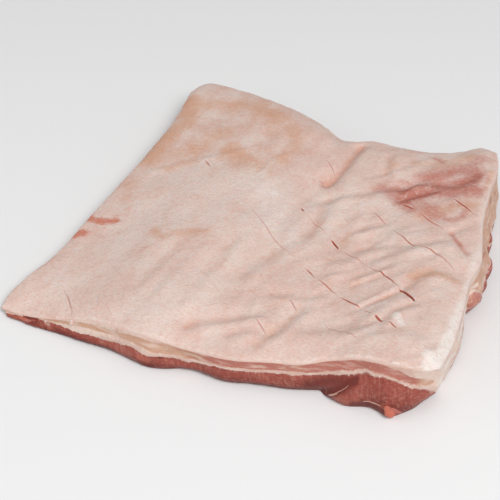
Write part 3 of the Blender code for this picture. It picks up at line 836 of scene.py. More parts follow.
def slab_lattice(cells):
    """A unit block of quads: the fine rind, rows of cut side round it and a coarser underside."""
    bm = bmesh.new()
    rows = round(cells * SLAB_WIDTH / SLAB_LENGTH)
    bmesh.ops.create_grid(bm, x_segments=cells, y_segments=rows, size=0.5)
    bmesh.ops.translate(bm, verts=bm.verts, vec=(0.5, 0.5, 1.0))
    for share in RIM_ROWS:
        for near_edge, axis in ((share, 0), (1 - share, 0), (share, 1), (1 - share, 1)):
            place = [0.0, 0.0, 0.0]
            normal = [0.0, 0.0, 0.0]
            place[axis] = near_edge
            normal[axis] = 1.0
            everything = bm.verts[:] + bm.edges[:] + bm.faces[:]
            bmesh.ops.bisect_plane(bm, geom=everything, plane_co=place, plane_no=normal)
    refine_cuts(bm)
    rim = [edge for edge in bm.edges if edge.is_boundary]
    for _ in range(SIDE_ROWS):
        made = bmesh.ops.extrude_edge_only(bm, edges=rim)["geom"]
        lowered = [part for part in made if isinstance(part, bmesh.types.BMVert)]
        bmesh.ops.translate(bm, verts=lowered, vec=(0, 0, -1 / SIDE_ROWS))
        rim = [part for part in made if isinstance(part, bmesh.types.BMEdge) and part.is_boundary]
    underside = bmesh.ops.holes_fill(bm, edges=rim, sides=0)["faces"]
    parts = underside + rim + list({vert for edge in rim for vert in edge.verts})
    for normal, count in (((1, 0, 0), cells), ((0, 1, 0), rows)):
        for column in range(UNDERSIDE_STEP, count, UNDERSIDE_STEP):
            place = Vector(normal) * column / count
            parts = bmesh.ops.bisect_plane(
                bm, geom=parts, dist=SAME_COLUMN, plane_co=place, plane_no=normal)["geom"]
    bmesh.ops.recalc_face_normals(bm, faces=bm.faces)
    return bm


def refine_cuts(bm):
    """Splits the rind's faces beside the open knife cuts, so that their lips are crisp."""
    centres = np.array([face.calc_center_median() for face in bm.faces])
    spots = stretched_patch(
        NEAR_RIM, FAR_RIM, LEFT_RIM, RIGHT_RIM, finer_right(centres[:, 0]), centres[:, 1])[:, :2]
    near = np.zeros(len(spots), bool)
    for cut in CUTS:
        near |= line_position(spots, rounded_line(cut.line))[0] < CUT_BORDER
    faces = [face for face, chosen in zip(bm.faces, near) if chosen]
    edges = {edge for face in faces for edge in face.edges}
    bmesh.ops.subdivide_edges(bm, edges=list(edges), cuts=2, use_grid_fill=True)


def finer_right(share):
    """Spreads even columns so that they lie closer together on the folded right."""
    return share * (1 + LEFT_STRETCH * (1 - share))


def mark_strength(spots, marks):
    """How strongly the nearest of some marks shows at each spot, 0 to 1."""
    strength = np.zeros(len(spots))
    for mark in marks:
        distance = line_position(spots, rounded_line(mark.line))[0]
        strength = np.maximum(strength, mark.strength * np.exp(-((distance / mark.reach) ** 2)))
    return strength


def space_strength(points, marks):
    """How strongly the nearest of some marks of a cut side shows at each point, 0 to 1."""
    strength = np.zeros(len(points))
    near = points[:, 1] < NEAR_SIDE_LIMIT
    for chosen, scale in ((near, (1, DEPTH_SHARE, 1)), (~near, (DEPTH_SHARE, 1, 1))):
        for line, reach, most in marks:
            gap = line_distance(points[chosen] * np.array(scale), np.array(line) * np.array(scale))
            strength[chosen] = np.maximum(strength[chosen], most * np.exp(-((gap / reach) ** 2)))
    return strength


def hollows_and_ridges(bm, heights):
    """Height of each vertex above the mean of its wide surroundings."""
    ends = np.array([(edge.verts[0].index, edge.verts[1].index) for edge in bm.edges])
    count = np.bincount(ends.ravel(), minlength=len(heights))
    smooth = heights.copy()
    for _ in range(SURROUND_STEPS):
        total = np.bincount(ends[:, 0], weights=smooth[ends[:, 1]], minlength=len(heights))
        total += np.bincount(ends[:, 1], weights=smooth[ends[:, 0]], minlength=len(heights))
        smooth = 0.5 * smooth + 0.5 * total / count
    return heights - smooth


def store_floats(mesh, name, values):
    """Keeps one number for each vertex of a mesh."""
    layer = mesh.attributes.new(name, "FLOAT", "POINT")
    layer.data.foreach_set("value", np.ascontiguousarray(values, np.float32))


def shape_slab(bm, sizes):
    """Moves the unit block's vertices to the slab's form and returns what its materials need."""
    bm.verts.ensure_lookup_table()
    bm.verts.index_update()
    shares = np.array([vert.co for vert in bm.verts], float)
    along = np.clip(finer_right(shares[:, 0]), 0.0, 1.0)
    across = np.clip(shares[:, 1], 0.0, 1.0)
    height = np.clip(shares[:, 2], 0.0, 1.0)
    inset = edge_distance(along, across)
    on_rind = height > 1 - NEARLY_NONE
    on_side = (inset < ON_EDGE) & ~on_rind
    below = (inset >= ON_EDGE) & ~on_rind
    place = rim_place(along, across)
    lower, seam, upper, tan = streak_levels(place)
    streak = streak_at(lower, seam, upper, height)
    top = folded_rind(along, across, FOLDS, sizes.fold_height)
    foot = stretched_patch(NEAR_FOOT, FAR_FOOT, LEFT_FOOT, RIGHT_FOOT, along, across)
    points = foot + (top - foot) * height[:, None]

    rind = points[on_rind]
    wrinkles = fold_height(rind[:, :2], scattered_wrinkles(), waves=())
    calm = 1 - np.exp(-((inset[on_rind] / WRINKLE_FADE) ** 2))
    raised = calm * (sizes.wrinkle_height * wrinkles + unevenness(rind, DIMPLES))
    raised += unevenness(rind, RIM_BUMPS) * np.exp(-((inset[on_rind] / RIM_BUMPS_REACH) ** 2))
    points[on_rind, 2] += raised
    crease = hollows_and_ridges(bm, points[:, 2])
    score, opening, groove = cut_profile(rind[:, :2], CUTS + HAIRLINES)
    points[on_rind, 2] -= sizes.cut_depth * groove

    push = side_push(points[on_side], streak[on_side], height[on_side], sizes.streak_relief)
    points[on_side, :2] += outward(along[on_side], across[on_side]) * push[:, None]
    hollow = np.clip(noise_at(points[below], HOLLOWS.size, HOLLOWS.lot) + HOLLOW_SHARE, 0.0, 1.0)
    points[below, 2] += HOLLOWS.height * hollow * np.clip(inset[below] / HOLLOW_BORDER, 0.0, 1.0)
    points[:, :2] -= np.array(DRAWN_MIDDLE)
    low, high = (np.array(corner) / MM for corner in CAD_BOX)
    points = np.clip(points, low, high)
    for vert, point in zip(bm.verts, points * MM):
        vert.co = point

    drawn = points + np.array((*DRAWN_MIDDLE, 0.0))
    spread = {
        "lower": lower, "seam": seam, "upper": upper, "tan": tan, "rise": height,
        "below": below.astype(float), "run": place * SLAB_LENGTH * MM,
        "fray": np.interp(place, *zip(*FRAYING)), "crease": np.where(on_rind, crease, 0.0),
        "streak": np.where(on_rind & (inset > ON_EDGE), RIND, streak)}
    for name, values, elsewhere in (
            ("score", score, CUT_SIGHT), ("opening", opening, 0.0), ("depth", groove, 0.0)):
        spread[name] = np.full(len(points), elsewhere)
        spread[name][on_rind] = values
    for name, marks in (("fatty", FATTY), ("meaty", MEATY), ("orange", ORANGE), ("hollow_shade", HOLLOW_SHADES)):
        spread[name] = space_strength(drawn, marks)
    for name, marks in (
            ("bruise", BRUISES), ("bruise_crease_and_shade", BRUISE_CREASES_AND_SHADE), ("stain_and_fold_shade", STAINS_AND_FOLD_SHADE), ("blood", BLOOD),
            ("pale_and_highlight", PALE_SKIN_AND_HIGHLIGHTS)):
        spread[name] = mark_strength(drawn[:, :2], marks)
    return spread


def finish_mesh(name, bm, material):
    """Makes a smooth object of a bmesh and gives it a material."""
    mesh = bpy.data.meshes.new(name)
    bm.to_mesh(mesh)
    bm.free()
    mesh.polygons.foreach_set("use_smooth", np.ones(len(mesh.polygons), bool))
    piece = bpy.data.objects.new(name, mesh)
    bpy.context.scene.collection.objects.link(piece)
    mesh.materials.append(material)
    return piece


def world_point(point):
    """A drawn point in millimetres as a place in the scene."""
    return (Vector(point) - Vector((*DRAWN_MIDDLE, 0.0))) * MM


def kept_in_box(point):
    """The nearest place to a point inside the slab's box."""
    low, high = CAD_BOX
    return Vector(min(max(value, least), most) for value, least, most in zip(point, low, high))


def slab_skin():
    """The slab body's surface, on which strands are laid."""
    body = bpy.data.objects.get(BODY_NAME)
    if body is None:
        raise RuntimeError("The slab body is built before what lies on it")
    bm = bmesh.new()
    bm.from_mesh(body.data)
    skin = BVHTree.FromBMesh(bm)
    bm.free()
    return skin


def lay_strand(bm, strand, skin, seed):
    """Adds a tapered lens-shaped strand that follows a line over the slab's side."""
    made = bmesh.ops.create_uvsphere(
        bm, u_segments=STRAND_SIDES, v_segments=STRAND_SECTIONS, radius=1.0)["verts"]
    for vert in made:
        share = (vert.co.z + 1) / 2
        here, ahead = smooth_curve(strand.line, np.array((share - STRAND_STEP, share + STRAND_STEP)))
        spot, normal, _, _ = skin.find_nearest(world_point((here + ahead) / 2))
        way = Vector(ahead - here).normalized()
        across = normal.cross(way).normalized()
        bumps = noise.noise(Vector((STRAND_BUMPS * share, vert.co.x, seed)))
        uneven = 1 + STRAND_RAGGED * bumps
        sideways = vert.co.x * uneven * strand.width / 2
        out = vert.co.y * uneven * strand.thickness / 2 + strand.lift
        vert.co = kept_in_box(spot + (across * sideways + normal * out) * MM)


def add_strands(name, strands, material):
    """Makes one piece of all the strands of a kind."""
    skin = slab_skin()
    bm = bmesh.new()
    for seed, strand in enumerate(strands):
        lay_strand(bm, strand, skin, seed)
    bmesh.ops.recalc_face_normals(bm, faces=bm.faces)
    drawn = np.array([vert.co for vert in bm.verts]) / MM + np.array((*DRAWN_MIDDLE, 0.0))
    piece = finish_mesh(name, bm, material)
    store_floats(piece.data, "orange", space_strength(drawn, ORANGE))
    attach(piece, "root")
    return piece


class Term:
    """A shader socket that takes part in arithmetic; each operator adds a Math node."""

    def __init__(self, recipe, socket):
        self.recipe = recipe
        self.socket = socket

    def math(self, operation, *values):
        sockets = dict(enumerate(values))
        return self.recipe.add("ShaderNodeMath", {"operation": operation}, sockets)

    def __add__(self, other):
        return self.math("ADD", self, other)

    def __radd__(self, other):
        return self.math("ADD", other, self)

    def __sub__(self, other):
        return self.math("SUBTRACT", self, other)

    def __rsub__(self, other):
        return self.math("SUBTRACT", other, self)

    def __mul__(self, other):
        return self.math("MULTIPLY", self, other)

    def __rmul__(self, other):
        return self.math("MULTIPLY", other, self)

    def __truediv__(self, other):
        return self.math("DIVIDE", self, other)

    def __rtruediv__(self, other):
        return self.math("DIVIDE", other, self)

    def __abs__(self):
        return self.math("ABSOLUTE", self)


class Recipe:
    """A material and the few ways in which its nodes are added."""

    def __init__(self, name):
        self.material = bpy.data.materials.new(name)
        self.material.use_nodes = True
        self.tree = self.material.node_tree
        self.tree.nodes.clear()

    def add(self, kind, settings=None, sockets=None, output=0):
        """Adds a node: its settings first, then its sockets' values or links."""
        node = self.tree.nodes.new(kind)
        for name, value in (settings or {}).items():
            setattr(node, name, value)
        for name, value in (sockets or {}).items():
            if isinstance(value, Term):
                self.tree.links.new(value.socket, node.inputs[name])
            else:
                node.inputs[name].default_value = value
        return Term(self, node.outputs[output]) if node.outputs else node

    def place(self):
        """Each point's place on its object."""
        return self.add("ShaderNodeTexCoord", output="Object")

    def attribute(self, name):
        return self.add("ShaderNodeAttribute", {"attribute_name": name}, output="Fac")

    def noise(self, vector, scale, detail=3.0, roughness=0.6):
        sockets = {"Vector": vector, "Scale": scale, "Detail": detail, "Roughness": roughness}
        return self.add("ShaderNodeTexNoise", None, sockets, "Fac")

    def stretched(self, vector, scale, turn):
        """A place turned by some degrees and scaled, for a texture that runs one way."""
        sockets = {"Vector": vector, "Rotation": (0, 0, math.radians(turn)), "Scale": scale}
        return self.add("ShaderNodeMapping", None, sockets)

    def uneven(self, *parts):
        """Sum of weighted noises, each taken about its middle."""
        total = -NOISE_MIDDLE * sum(weight for weight, _ in parts)
        for weight, part in parts:
            total = total + weight * part
        return total

    def between(self, value, low, high, most=1.0):
        """Smooth share from 0 where the value is low to the most where it is high."""
        sockets = {"Value": value, "From Min": low, "From Max": high, "To Max": most}
        return self.add("ShaderNodeMapRange", {"interpolation_type": "SMOOTHSTEP"}, sockets)

    def blend(self, share, first, second):
        """Colour between two colours, each a socket or a colour property."""
        ends = [colour if isinstance(colour, Term) else opaque(colour) for colour in (first, second)]
        return self.add("ShaderNodeMix", {"data_type": "RGBA"}, {0: share, 6: ends[0], 7: ends[1]}, 2)

    def tint(self, under, colour, value, low, high, most=1.0):
        """Lays a colour over another where a value goes from low to high."""
        return self.blend(self.between(value, low, high, most), under, colour)

    def bump(self, height, distance, strength, normal=None):
        sockets = {"Height": height, "Distance": distance, "Strength": strength}
        if normal:
            sockets["Normal"] = normal
        return self.add("ShaderNodeBump", None, sockets)

    def surface(self, sockets):
        """Ends the material with a shader."""
        shader = self.add("ShaderNodeBsdfPrincipled", None, sockets)
        self.add("ShaderNodeOutputMaterial", None, {"Surface": shader})
        return self.material

    def flesh(self, colour, roughness, relief):
        """Ends the material with a soft flesh shader."""
        return self.surface({
            "Base Color": colour, "Roughness": roughness, "Normal": relief,
            "Subsurface Weight": FLESH_GLOW, "Subsurface Radius": FLESH_REACH, "Subsurface Scale": MM,
            "Specular IOR Level": FLESH_SHINE})


def linear(red, green, blue):
    """A colour read off the screen, 0 to 255, as linear light."""
    light = []
    for channel in (red, green, blue):
        share = channel / 255
        light.append(share / 12.92 if share <= 0.04045 else ((share + 0.055) / 1.055) ** 2.4)
    return tuple(light)


def opaque(colour):
    """A colour property as the four numbers that a colour socket takes."""
    return (*colour, 1.0)


def rind_material(colours):
    """Scalded rind: pale skin with tan stains, pink bruises, pores and score lines, with painted shade
    in the creases, along folds and in deep cuts, and painted highlights on ridges and pale places.
    """
    recipe = Recipe("scalded_rind")
    place = recipe.place()
    broad = recipe.noise(place, 15.0, roughness=0.55)
    middle = recipe.noise(place, 62.0)
    small = recipe.noise(place, 240.0, 2.0)
    fine = recipe.noise(place, 1100.0, 2.0)
    bands = recipe.noise(recipe.stretched(place, (1.0, 0.2, 1.0), -12), 70.0)
    pores = recipe.noise(recipe.stretched(place, (1.0, 2.6, 1.0), 28), 430.0, 2.0)
    grit = pores + 0.6 * fine + 0.3 * small
    mottle = recipe.uneven((0.8, middle), (0.8, small), (0.8, pores))
    crease = recipe.attribute("crease")
    bruise = recipe.attribute("bruise")
    bruise_crease_and_shade = recipe.attribute("bruise_crease_and_shade")
    opening = recipe.attribute("opening")
    from_lip = abs(recipe.attribute("score")) - opening

    warmth = 0.5 * broad + 0.3 * bands + 0.3 * middle
    skin = recipe.tint(colours.rind, colours.rind_warm, warmth, 0.46, 0.66)
    # Painted shade: the fold hollows are tinted towards the crease colour. Painted highlight: the ridges
    # are tinted paler.
    skin = recipe.tint(skin, colours.rind_shade_and_pores, crease, -0.03, -0.8, 0.75)
    skin = recipe.tint(skin, colours.rind_pale, crease, 0.2, 1.3, 0.6)
    # Tan stains, and painted shade along the folds on the right.
    stained_and_shaded = 1.3 * recipe.attribute("stain_and_fold_shade") + recipe.uneven((1.0, middle), (0.8, bands), (0.35, small))
    skin = recipe.tint(skin, colours.stain_and_fold_shade, stained_and_shaded, 0.1, 1.3, 0.9)
    bruised = recipe.between(bruise + 0.7 * mottle, -0.1, 1.35, recipe.between(bruise, 0.03, 0.4))
    skin = recipe.blend(bruised, skin, colours.bruise)
    # Painted shade: the bruised fold valleys are darkened along their lines, over the bruise's own dark
    # red.
    creased_bruise_shade = recipe.between(bruise_crease_and_shade + 0.9 * mottle, 0.0, 1.4, recipe.between(bruise_crease_and_shade, 0.03, 0.4))
    skin = recipe.blend(creased_bruise_shade, skin, colours.dark_bruise_and_shade)
    sore = recipe.between(creased_bruise_shade + 0.5 * bruised, 0.4, 0.9, 0.7)
    skin = recipe.tint(skin, colours.shred, fine + 0.6 * pores, 0.84, 1.0, sore)
    skin = recipe.tint(skin, colours.blood, recipe.attribute("blood") + 0.9 * mottle, 0.15, 0.9, 0.85)
    # Pale skin and painted highlights from the pale marks.
    pale_and_highlit = recipe.attribute("pale_and_highlight") + recipe.uneven((0.9, middle), (0.5, small))
    skin = recipe.tint(skin, colours.rind_pale, pale_and_highlit, 0.25, 0.85, 0.85)
    specks = recipe.between(grit, 0.96, 1.14)
    skin = recipe.blend(specks * 0.34, skin, colours.rind_shade_and_pores)
    skin = recipe.tint(skin, colours.rind_pale, grit, 0.94, 0.74, 0.2)
    cut_here = recipe.between(opening, 0.0, 0.2)
    cut_open = recipe.between(opening, 0.2, 0.55)
    skin = recipe.tint(skin, colours.rind_pale, from_lip, 1.2, 0.5, cut_here * (0.1 + 0.2 * cut_open))
    skin = recipe.tint(skin, colours.score, from_lip, 0.4, 0.0, cut_here * (0.15 + 0.8 * cut_open))
    # Painted shade: the deepest knife cuts are darkened inside.
    skin = recipe.tint(skin, colours.lower_lean_dark_and_shade, recipe.attribute("depth"), 2.2, 4.0)

    relief = recipe.bump(pores, 0.0008, 0.6)
    relief = recipe.bump(small, 0.0015, 0.4, relief)
    return recipe.flesh(skin, 0.44 + 0.16 * middle + 0.1 * specks, relief)


def flesh_material(colours):
    """Cut side: lower lean, fat seam, upper lean and the fat under the rind, with painted shade at the
    lean's foot and in its hollows.
    """
    recipe = Recipe("belly_flesh")
    place = recipe.place()
    height = recipe.add("ShaderNodeSeparateXYZ", None, {0: place}, "Z")
    grain = recipe.add("ShaderNodeCombineXYZ", None, {0: recipe.attribute("run"), 1: height})
    clouds = recipe.noise(place, 55.0)
    flecks = recipe.noise(place, 420.0, roughness=0.65)
    wobble = recipe.noise(grain, 85.0)
    threads = recipe.noise(recipe.stretched(grain, (1.0, 0.22, 1.0), 8), 620.0, 2.0)
    fibres = recipe.noise(recipe.stretched(grain, (1.0, 3.2, 1.0), 38), 300.0, roughness=0.65)
    bundles = recipe.noise(recipe.stretched(grain, (0.4, 2.4, 1.0), 0), 150.0)
    mottle = recipe.uneven((0.9, clouds), (0.6, flecks))
    rise = recipe.attribute("rise")
    fray = recipe.attribute("fray")
    tan = recipe.attribute("tan")
    lower_top = recipe.attribute("lower")
    level = rise + fray * recipe.uneven((0.14, wobble), (0.05, flecks), (0.05, threads))
    above_lean = level - lower_top

    # Painted shade: the lower lean darkens towards the foot, with random tone from the noises.
    lit_share_and_tone = 0.1 + recipe.between(level / lower_top, 0.05, 0.85, 0.75)
    lit_share_and_tone = lit_share_and_tone + recipe.uneven((1.3, fibres), (1.2, clouds), (0.9, flecks))
    lit_share_and_tone = recipe.add("ShaderNodeClamp", None, {"Value": lit_share_and_tone})
    lower = recipe.blend(lit_share_and_tone, colours.lower_lean_dark_and_shade, colours.lower_lean)
    pale_fibres = threads + 0.6 * fibres + recipe.uneven((0.3, clouds))
    lower = recipe.tint(lower, colours.marbling, pale_fibres, 0.76, 1.02, 0.24)
    lower = recipe.tint(lower, colours.shred, recipe.attribute("orange") + mottle, 0.2, 0.9, 0.4)
    # Painted shade in the lean's hollows and clefts and along its foot.
    hollow_shade = recipe.attribute("hollow_shade") + 0.5 * mottle
    lower = recipe.tint(lower, colours.lower_lean_dark_and_shade, hollow_shade, 0.15, 0.9, 0.85)

    dried = recipe.between(tan + recipe.uneven((0.7, clouds), (0.5, bundles)), 0.3, 0.7)
    upper = recipe.blend(dried, colours.upper_lean, colours.upper_lean_tan)
    upper = recipe.tint(upper, colours.fat, bundles, 0.5, 0.64, 0.3 + 0.3 * dried)
    upper = recipe.tint(upper, colours.fat, flecks, 0.58, 0.74, 0.25)
    upper = recipe.tint(upper, colours.upper_lean, bundles, 0.45, 0.3, 0.4)

    fat = recipe.tint(colours.fat, colours.fat_pink, clouds + 0.5 * flecks - 0.2 * tan, 0.42, 0.8)
    near_lean = recipe.between(above_lean, 0.06, 0.0, 0.7)
    fat = recipe.tint(fat, colours.rind_pale, flecks, 0.5, 0.62, near_lean)
    colour = recipe.tint(lower, fat, above_lean + recipe.uneven((0.04, fibres)), -0.022, 0.022)
    colour = recipe.tint(colour, upper, level - recipe.attribute("seam"), -0.02, 0.02)
    upper_top = recipe.attribute("upper") + fray * recipe.uneven((0.04, wobble), (0.03, flecks))
    colour = recipe.tint(colour, fat, rise - upper_top, -0.012, 0.012)
    colour = recipe.tint(colour, lower, recipe.attribute("meaty") + mottle, 0.4, 0.6)
    fatty = recipe.attribute("fatty")
    fat_here = recipe.between(fatty + 0.6 * mottle, 0.42, 0.62)
    colour = recipe.blend(fat_here, colour, fat)
    white = recipe.between(fatty, 0.7, 0.9, 0.7) * fat_here
    colour = recipe.tint(colour, colours.rind_pale, clouds, 0.3, 0.55, white)
    # The rind's colour over the top of the cut sides, paler with the pale marks and their painted
    # highlights.
    skin = recipe.blend(recipe.attribute("pale_and_highlight"), colours.rind_warm, colours.rind_pale)
    colour = recipe.tint(colour, skin, rise, 0.955, 0.975)

    relief = recipe.bump(fibres, 0.0005, 0.45)
    relief = recipe.bump(flecks, 0.0007, 0.45, relief)
    lean = recipe.between(above_lean, 0.02, -0.02)
    return recipe.flesh(colour, 0.4 + 0.2 * fibres - 0.06 * lean, relief)


def muscle_material(colours):
    """The round end of a muscle: pink brown lean inside a pale ring."""
    recipe = Recipe("muscle_end_flesh")
    place = recipe.place()
    clouds = recipe.noise(place, 130.0)
    flecks = recipe.noise(place, 620.0, roughness=0.65)
    colour = recipe.tint(colours.muscle, colours.marbling, clouds + 0.6 * flecks, 0.62, 1.05)
    colour = recipe.tint(colour, colours.upper_lean, flecks, 0.58, 0.42, 0.35)
    ring = recipe.attribute("ring") + recipe.uneven((0.5, clouds))
    colour = recipe.tint(colour, colours.fat, ring, 0.82, 0.96)
    return recipe.flesh(colour, 0.38 + 0.15 * clouds, recipe.bump(flecks, 0.0006, 0.4))


def shred_material(colours):
    """Loose shreds of lean: orange red with paler and darker flecks."""
    recipe = Recipe("shred_flesh")
    place = recipe.place()
    clouds = recipe.noise(place, 170.0)
    flecks = recipe.noise(place, 700.0, roughness=0.65)
    colour = recipe.tint(colours.lower_lean, colours.muscle, clouds, 0.35, 0.65)
    orange = recipe.attribute("orange") + recipe.uneven((0.6, clouds))
    colour = recipe.tint(colour, colours.shred, orange, 0.2, 0.8)
    colour = recipe.tint(colour, colours.marbling, flecks, 0.6, 0.75, 0.6)
    colour = recipe.tint(colour, colours.lower_lean_dark_and_shade, flecks, 0.36, 0.26, 0.7)
    return recipe.flesh(colour, 0.36 + 0.2 * clouds, recipe.bump(flecks, 0.0005, 0.5))


def fascia_material(colours):
    """Thin pale membrane, pinker where the lean shows through."""
    recipe = Recipe("fascia")
    place = recipe.place()
    clouds = recipe.noise(place, 260.0, roughness=0.65)
    flecks = recipe.noise(place, 900.0, 2.0)
    colour = recipe.tint(colours.fat_pink, colours.marbling, clouds, 0.36, 0.56)
    return recipe.flesh(colour, 0.3 + 0.2 * flecks, recipe.bump(flecks, 0.0003, 0.5))


def underside_material(colours):
    """Rib side: lean under a thin pale skin, with fat between the places where ribs lay."""
    recipe = Recipe("belly_underside")
    place = recipe.place()
    ribs = recipe.noise(recipe.stretched(place, (1.0, 0.2, 1.0), 12), 30.0, 4.0)
    fibres = recipe.noise(recipe.stretched(place, (1.0, 0.12, 1.0), 100), 420.0)
    clouds = recipe.noise(place, 30.0, 4.0)
    flecks = recipe.noise(place, 260.0)
    lean = recipe.tint(colours.lower_lean, colours.upper_lean, clouds, 0.35, 0.65)
    lean = recipe.tint(lean, colours.marbling, fibres + 0.4 * clouds, 0.6, 0.9, 0.4)
    fat = recipe.tint(colours.fat, colours.fat_pink, flecks, 0.4, 0.7)
    covered = ribs + recipe.uneven((0.3, clouds), (0.1, flecks))
    colour = recipe.tint(lean, fat, covered, 0.44, 0.66, 0.7)
    relief = recipe.bump(ribs, 0.004, 0.5)
    relief = recipe.bump(flecks, 0.0007, 0.5, relief)
    return recipe.flesh(colour, 0.34 + 0.2 * clouds, relief)


def colour_property(name, description, colour):
    """A colour that a user can change, from a colour read off the screen."""
    return FloatVectorProperty(
        name=name, description=description, default=linear(*colour), subtype="COLOR", size=3, min=0.0,
        max=1.0)


class SlabSizes(bpy.types.PropertyGroup):
    """Sizes of the slab's finish."""

    cells: IntProperty(
        name="Fineness", description="Columns of faces along the rind", default=236, min=60, max=300)
    fold_height: FloatProperty(
        name="Fold height", description="Height of the large folds", default=1.0, min=0.0, max=2.0)
    wrinkle_height: FloatProperty(
        name="Wrinkle height", description="Height of the fine wrinkles", default=1.0, min=0.0, max=3.0)
    cut_depth: FloatProperty(
        name="Cut depth", description="Depth of the knife cuts", default=1.0, min=0.0, max=2.0)
    streak_relief: FloatProperty(
        name="Streak relief", description="How far the streaks of the cut sides stand out", default=1.0,
        min=0.0, max=2.0)


class SlabColours(bpy.types.PropertyGroup):
    """Colours of the rind, the fat and the lean."""

    rind: colour_property("Rind", "Plain skin", (224, 202, 192))
    rind_pale: colour_property("Pale rind", "Skin stretched over fat", (234, 226, 220))
    rind_warm: colour_property("Warm rind", "Skin between the pale places", (219, 188, 176))
    # The creased rind colour is painted shade in the fold hollows, and also the colour of the pores.
    rind_shade_and_pores: colour_property("Creased rind", "Skin in the creases and pores", (205, 153, 134))
    # Tan of the scald stains, also used as painted shade along the folds.
    stain_and_fold_shade: colour_property("Stain", "Tan stains left by scalding", (211, 162, 134))
    bruise: colour_property("Bruise", "Bruised skin", (190, 120, 107))
    # The darkest bruise colour, also painted shade in the bruised fold valleys.
    dark_bruise_and_shade: colour_property("Bruise crease", "Darkest lines of the bruise", (172, 88, 70))
    blood: colour_property("Blood streak", "Red streaks at the left edge", (199, 108, 80))
    score: colour_property("Score line", "Bottom of the shallow knife cuts", (186, 98, 74))
    fat: colour_property("Fat", "Fat on the cut sides", (220, 197, 184))
    fat_pink: colour_property("Pink fat", "Fat close to the lean", (204, 168, 154))
    marbling: colour_property("Marbling", "Fat inside the lean", (200, 156, 138))
    upper_lean: colour_property("Upper lean", "Lean layer under the rind fat", (178, 112, 98))
    upper_lean_tan: colour_property("Dried upper lean", "Upper lean where it has dried", (198, 156, 132))
    lower_lean: colour_property("Lower lean", "Lean layer on the rib side", (158, 80, 67))
    # The deepest red of the lean, also used as painted shade at the foot, in the hollows and in the
    # deepest knife cuts.
    lower_lean_dark_and_shade: colour_property("Dark lower lean", "Deepest red of the lower lean", (104, 36, 29))
    shred: colour_property("Shred", "Orange red shreds of meat", (200, 110, 88))
    muscle: colour_property("Muscle end", "Round muscle end in the right side", (178, 112, 102))


class StageSettings(bpy.types.PropertyGroup):
    """The floor, the lights and the camera."""

    floor_size: FloatProperty(
        name="Floor size", description="Side of the square floor", default=6.0, min=1.0, unit="LENGTH")
    floor_colour: colour_property("Floor", "Plain pale floor", (238, 238, 238))
    key_power: FloatProperty(
        name="Key light", description="Power of the large soft light", default=46.0, min=0.0,
        unit="POWER")
    fill_power: FloatProperty(
        name="Fill light", description="Power of the weak light opposite", default=2.5, min=0.0,
        unit="POWER")
    sky: FloatProperty(
        name="Sky", description="Strength of the even light all round", default=0.42, min=0.0)


class SLAB_OT_body(bpy.types.Operator):
    """Build the folded rind, the streaky cut sides and the underside as one closed piece"""

    bl_idname = "slab.body"
    bl_label = "Slab body"

    def execute(self, context):
        sizes = context.scene.slab_sizes
        colours = context.scene.slab_colours
        bm = slab_lattice(sizes.cells)
        spread = shape_slab(bm, sizes)
        bmesh.ops.triangulate(bm, faces=[face for face in bm.faces if len(face.verts) > 4])
        below = spread.pop("below")
        streak = spread["streak"]
        bm.verts.index_update()
        for face in bm.faces:
            corners = [vert.index for vert in face.verts]
            if any(below[corner] for corner in corners):
                face.material_index = UNDERSIDE_FINISH
            elif min(streak[corners]) > RIND_FAT and max(streak[corners]) == RIND:
                face.material_index = RIND_FINISH
            else:
                face.material_index = FLESH_FINISH
        piece = finish_mesh(BODY_NAME, bm, rind_material(colours))
        piece.data.materials.append(flesh_material(colours))
        piece.data.materials.append(underside_material(colours))
        for name, values in spread.items():
            store_floats(piece.data, name, values)
        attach(piece, "root")
        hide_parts(SLAB_NODE)
        return {"FINISHED"}


class SLAB_OT_fascias(bpy.types.Operator):
    """Lay the pale membranes on the cut sides"""

    bl_idname = "slab.fascias"
    bl_label = "Membranes"

    def execute(self, context):
        add_strands("fascia_strands", FASCIAS, fascia_material(context.scene.slab_colours))
        return {"FINISHED"}


class SLAB_OT_shreds(bpy.types.Operator):
    """Hang the loose shreds of lean on the cut sides"""

    bl_idname = "slab.shreds"
    bl_label = "Shreds of lean"

    def execute(self, context):
        add_strands("lean_shreds", SHREDS, shred_material(context.scene.slab_colours))
        return {"FINISHED"}


class SLAB_OT_flaps(bpy.types.Operator):
    """Hang the small flap of rind that a knife cut left at the near edge"""

    bl_idname = "slab.flaps"
    bl_label = "Flap of rind"

    def execute(self, context):
        add_strands("rind_flap", FLAPS, rind_material(context.scene.slab_colours))
        return {"FINISHED"}


class SLAB_OT_muscle(bpy.types.Operator):
    """Set the round end of a small muscle in the right side"""

    bl_idname = "slab.muscle"
    bl_label = "Muscle end"

    def execute(self, context):
        out = Vector(MUSCLE_FACING).normalized()
        sideways = Vector((0, 0, 1)).cross(out).normalized()
        upwards = out.cross(sideways)
        wide, tall, thick = MUSCLE_HALF
        around, down = MUSCLE_SEGMENTS
        bm = bmesh.new()
        bmesh.ops.create_uvsphere(bm, u_segments=around, v_segments=down, radius=1.0)
        ring = []
        for vert in bm.verts:
            x, y, z = vert.co
            ring.append(math.hypot(x, y) if z > 0 else 1.0)
            turn = math.atan2(y, x)
            wave = math.cos(MUSCLE_LOBE_COUNT * turn + MUSCLE_LOBE_TURN)
            lobe = 1 + MUSCLE_LOBES * (wave + noise.noise(vert.co * MUSCLE_BUMPS))
            place = sideways * x * wide * lobe + upwards * y * tall * lobe + out * z * thick
            vert.co = kept_in_box(world_point(Vector(MUSCLE_MIDDLE) + place))
        piece = finish_mesh("muscle_end", bm, muscle_material(context.scene.slab_colours))
        store_floats(piece.data, "ring", ring)
        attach(piece, "root")
        return {"FINISHED"}


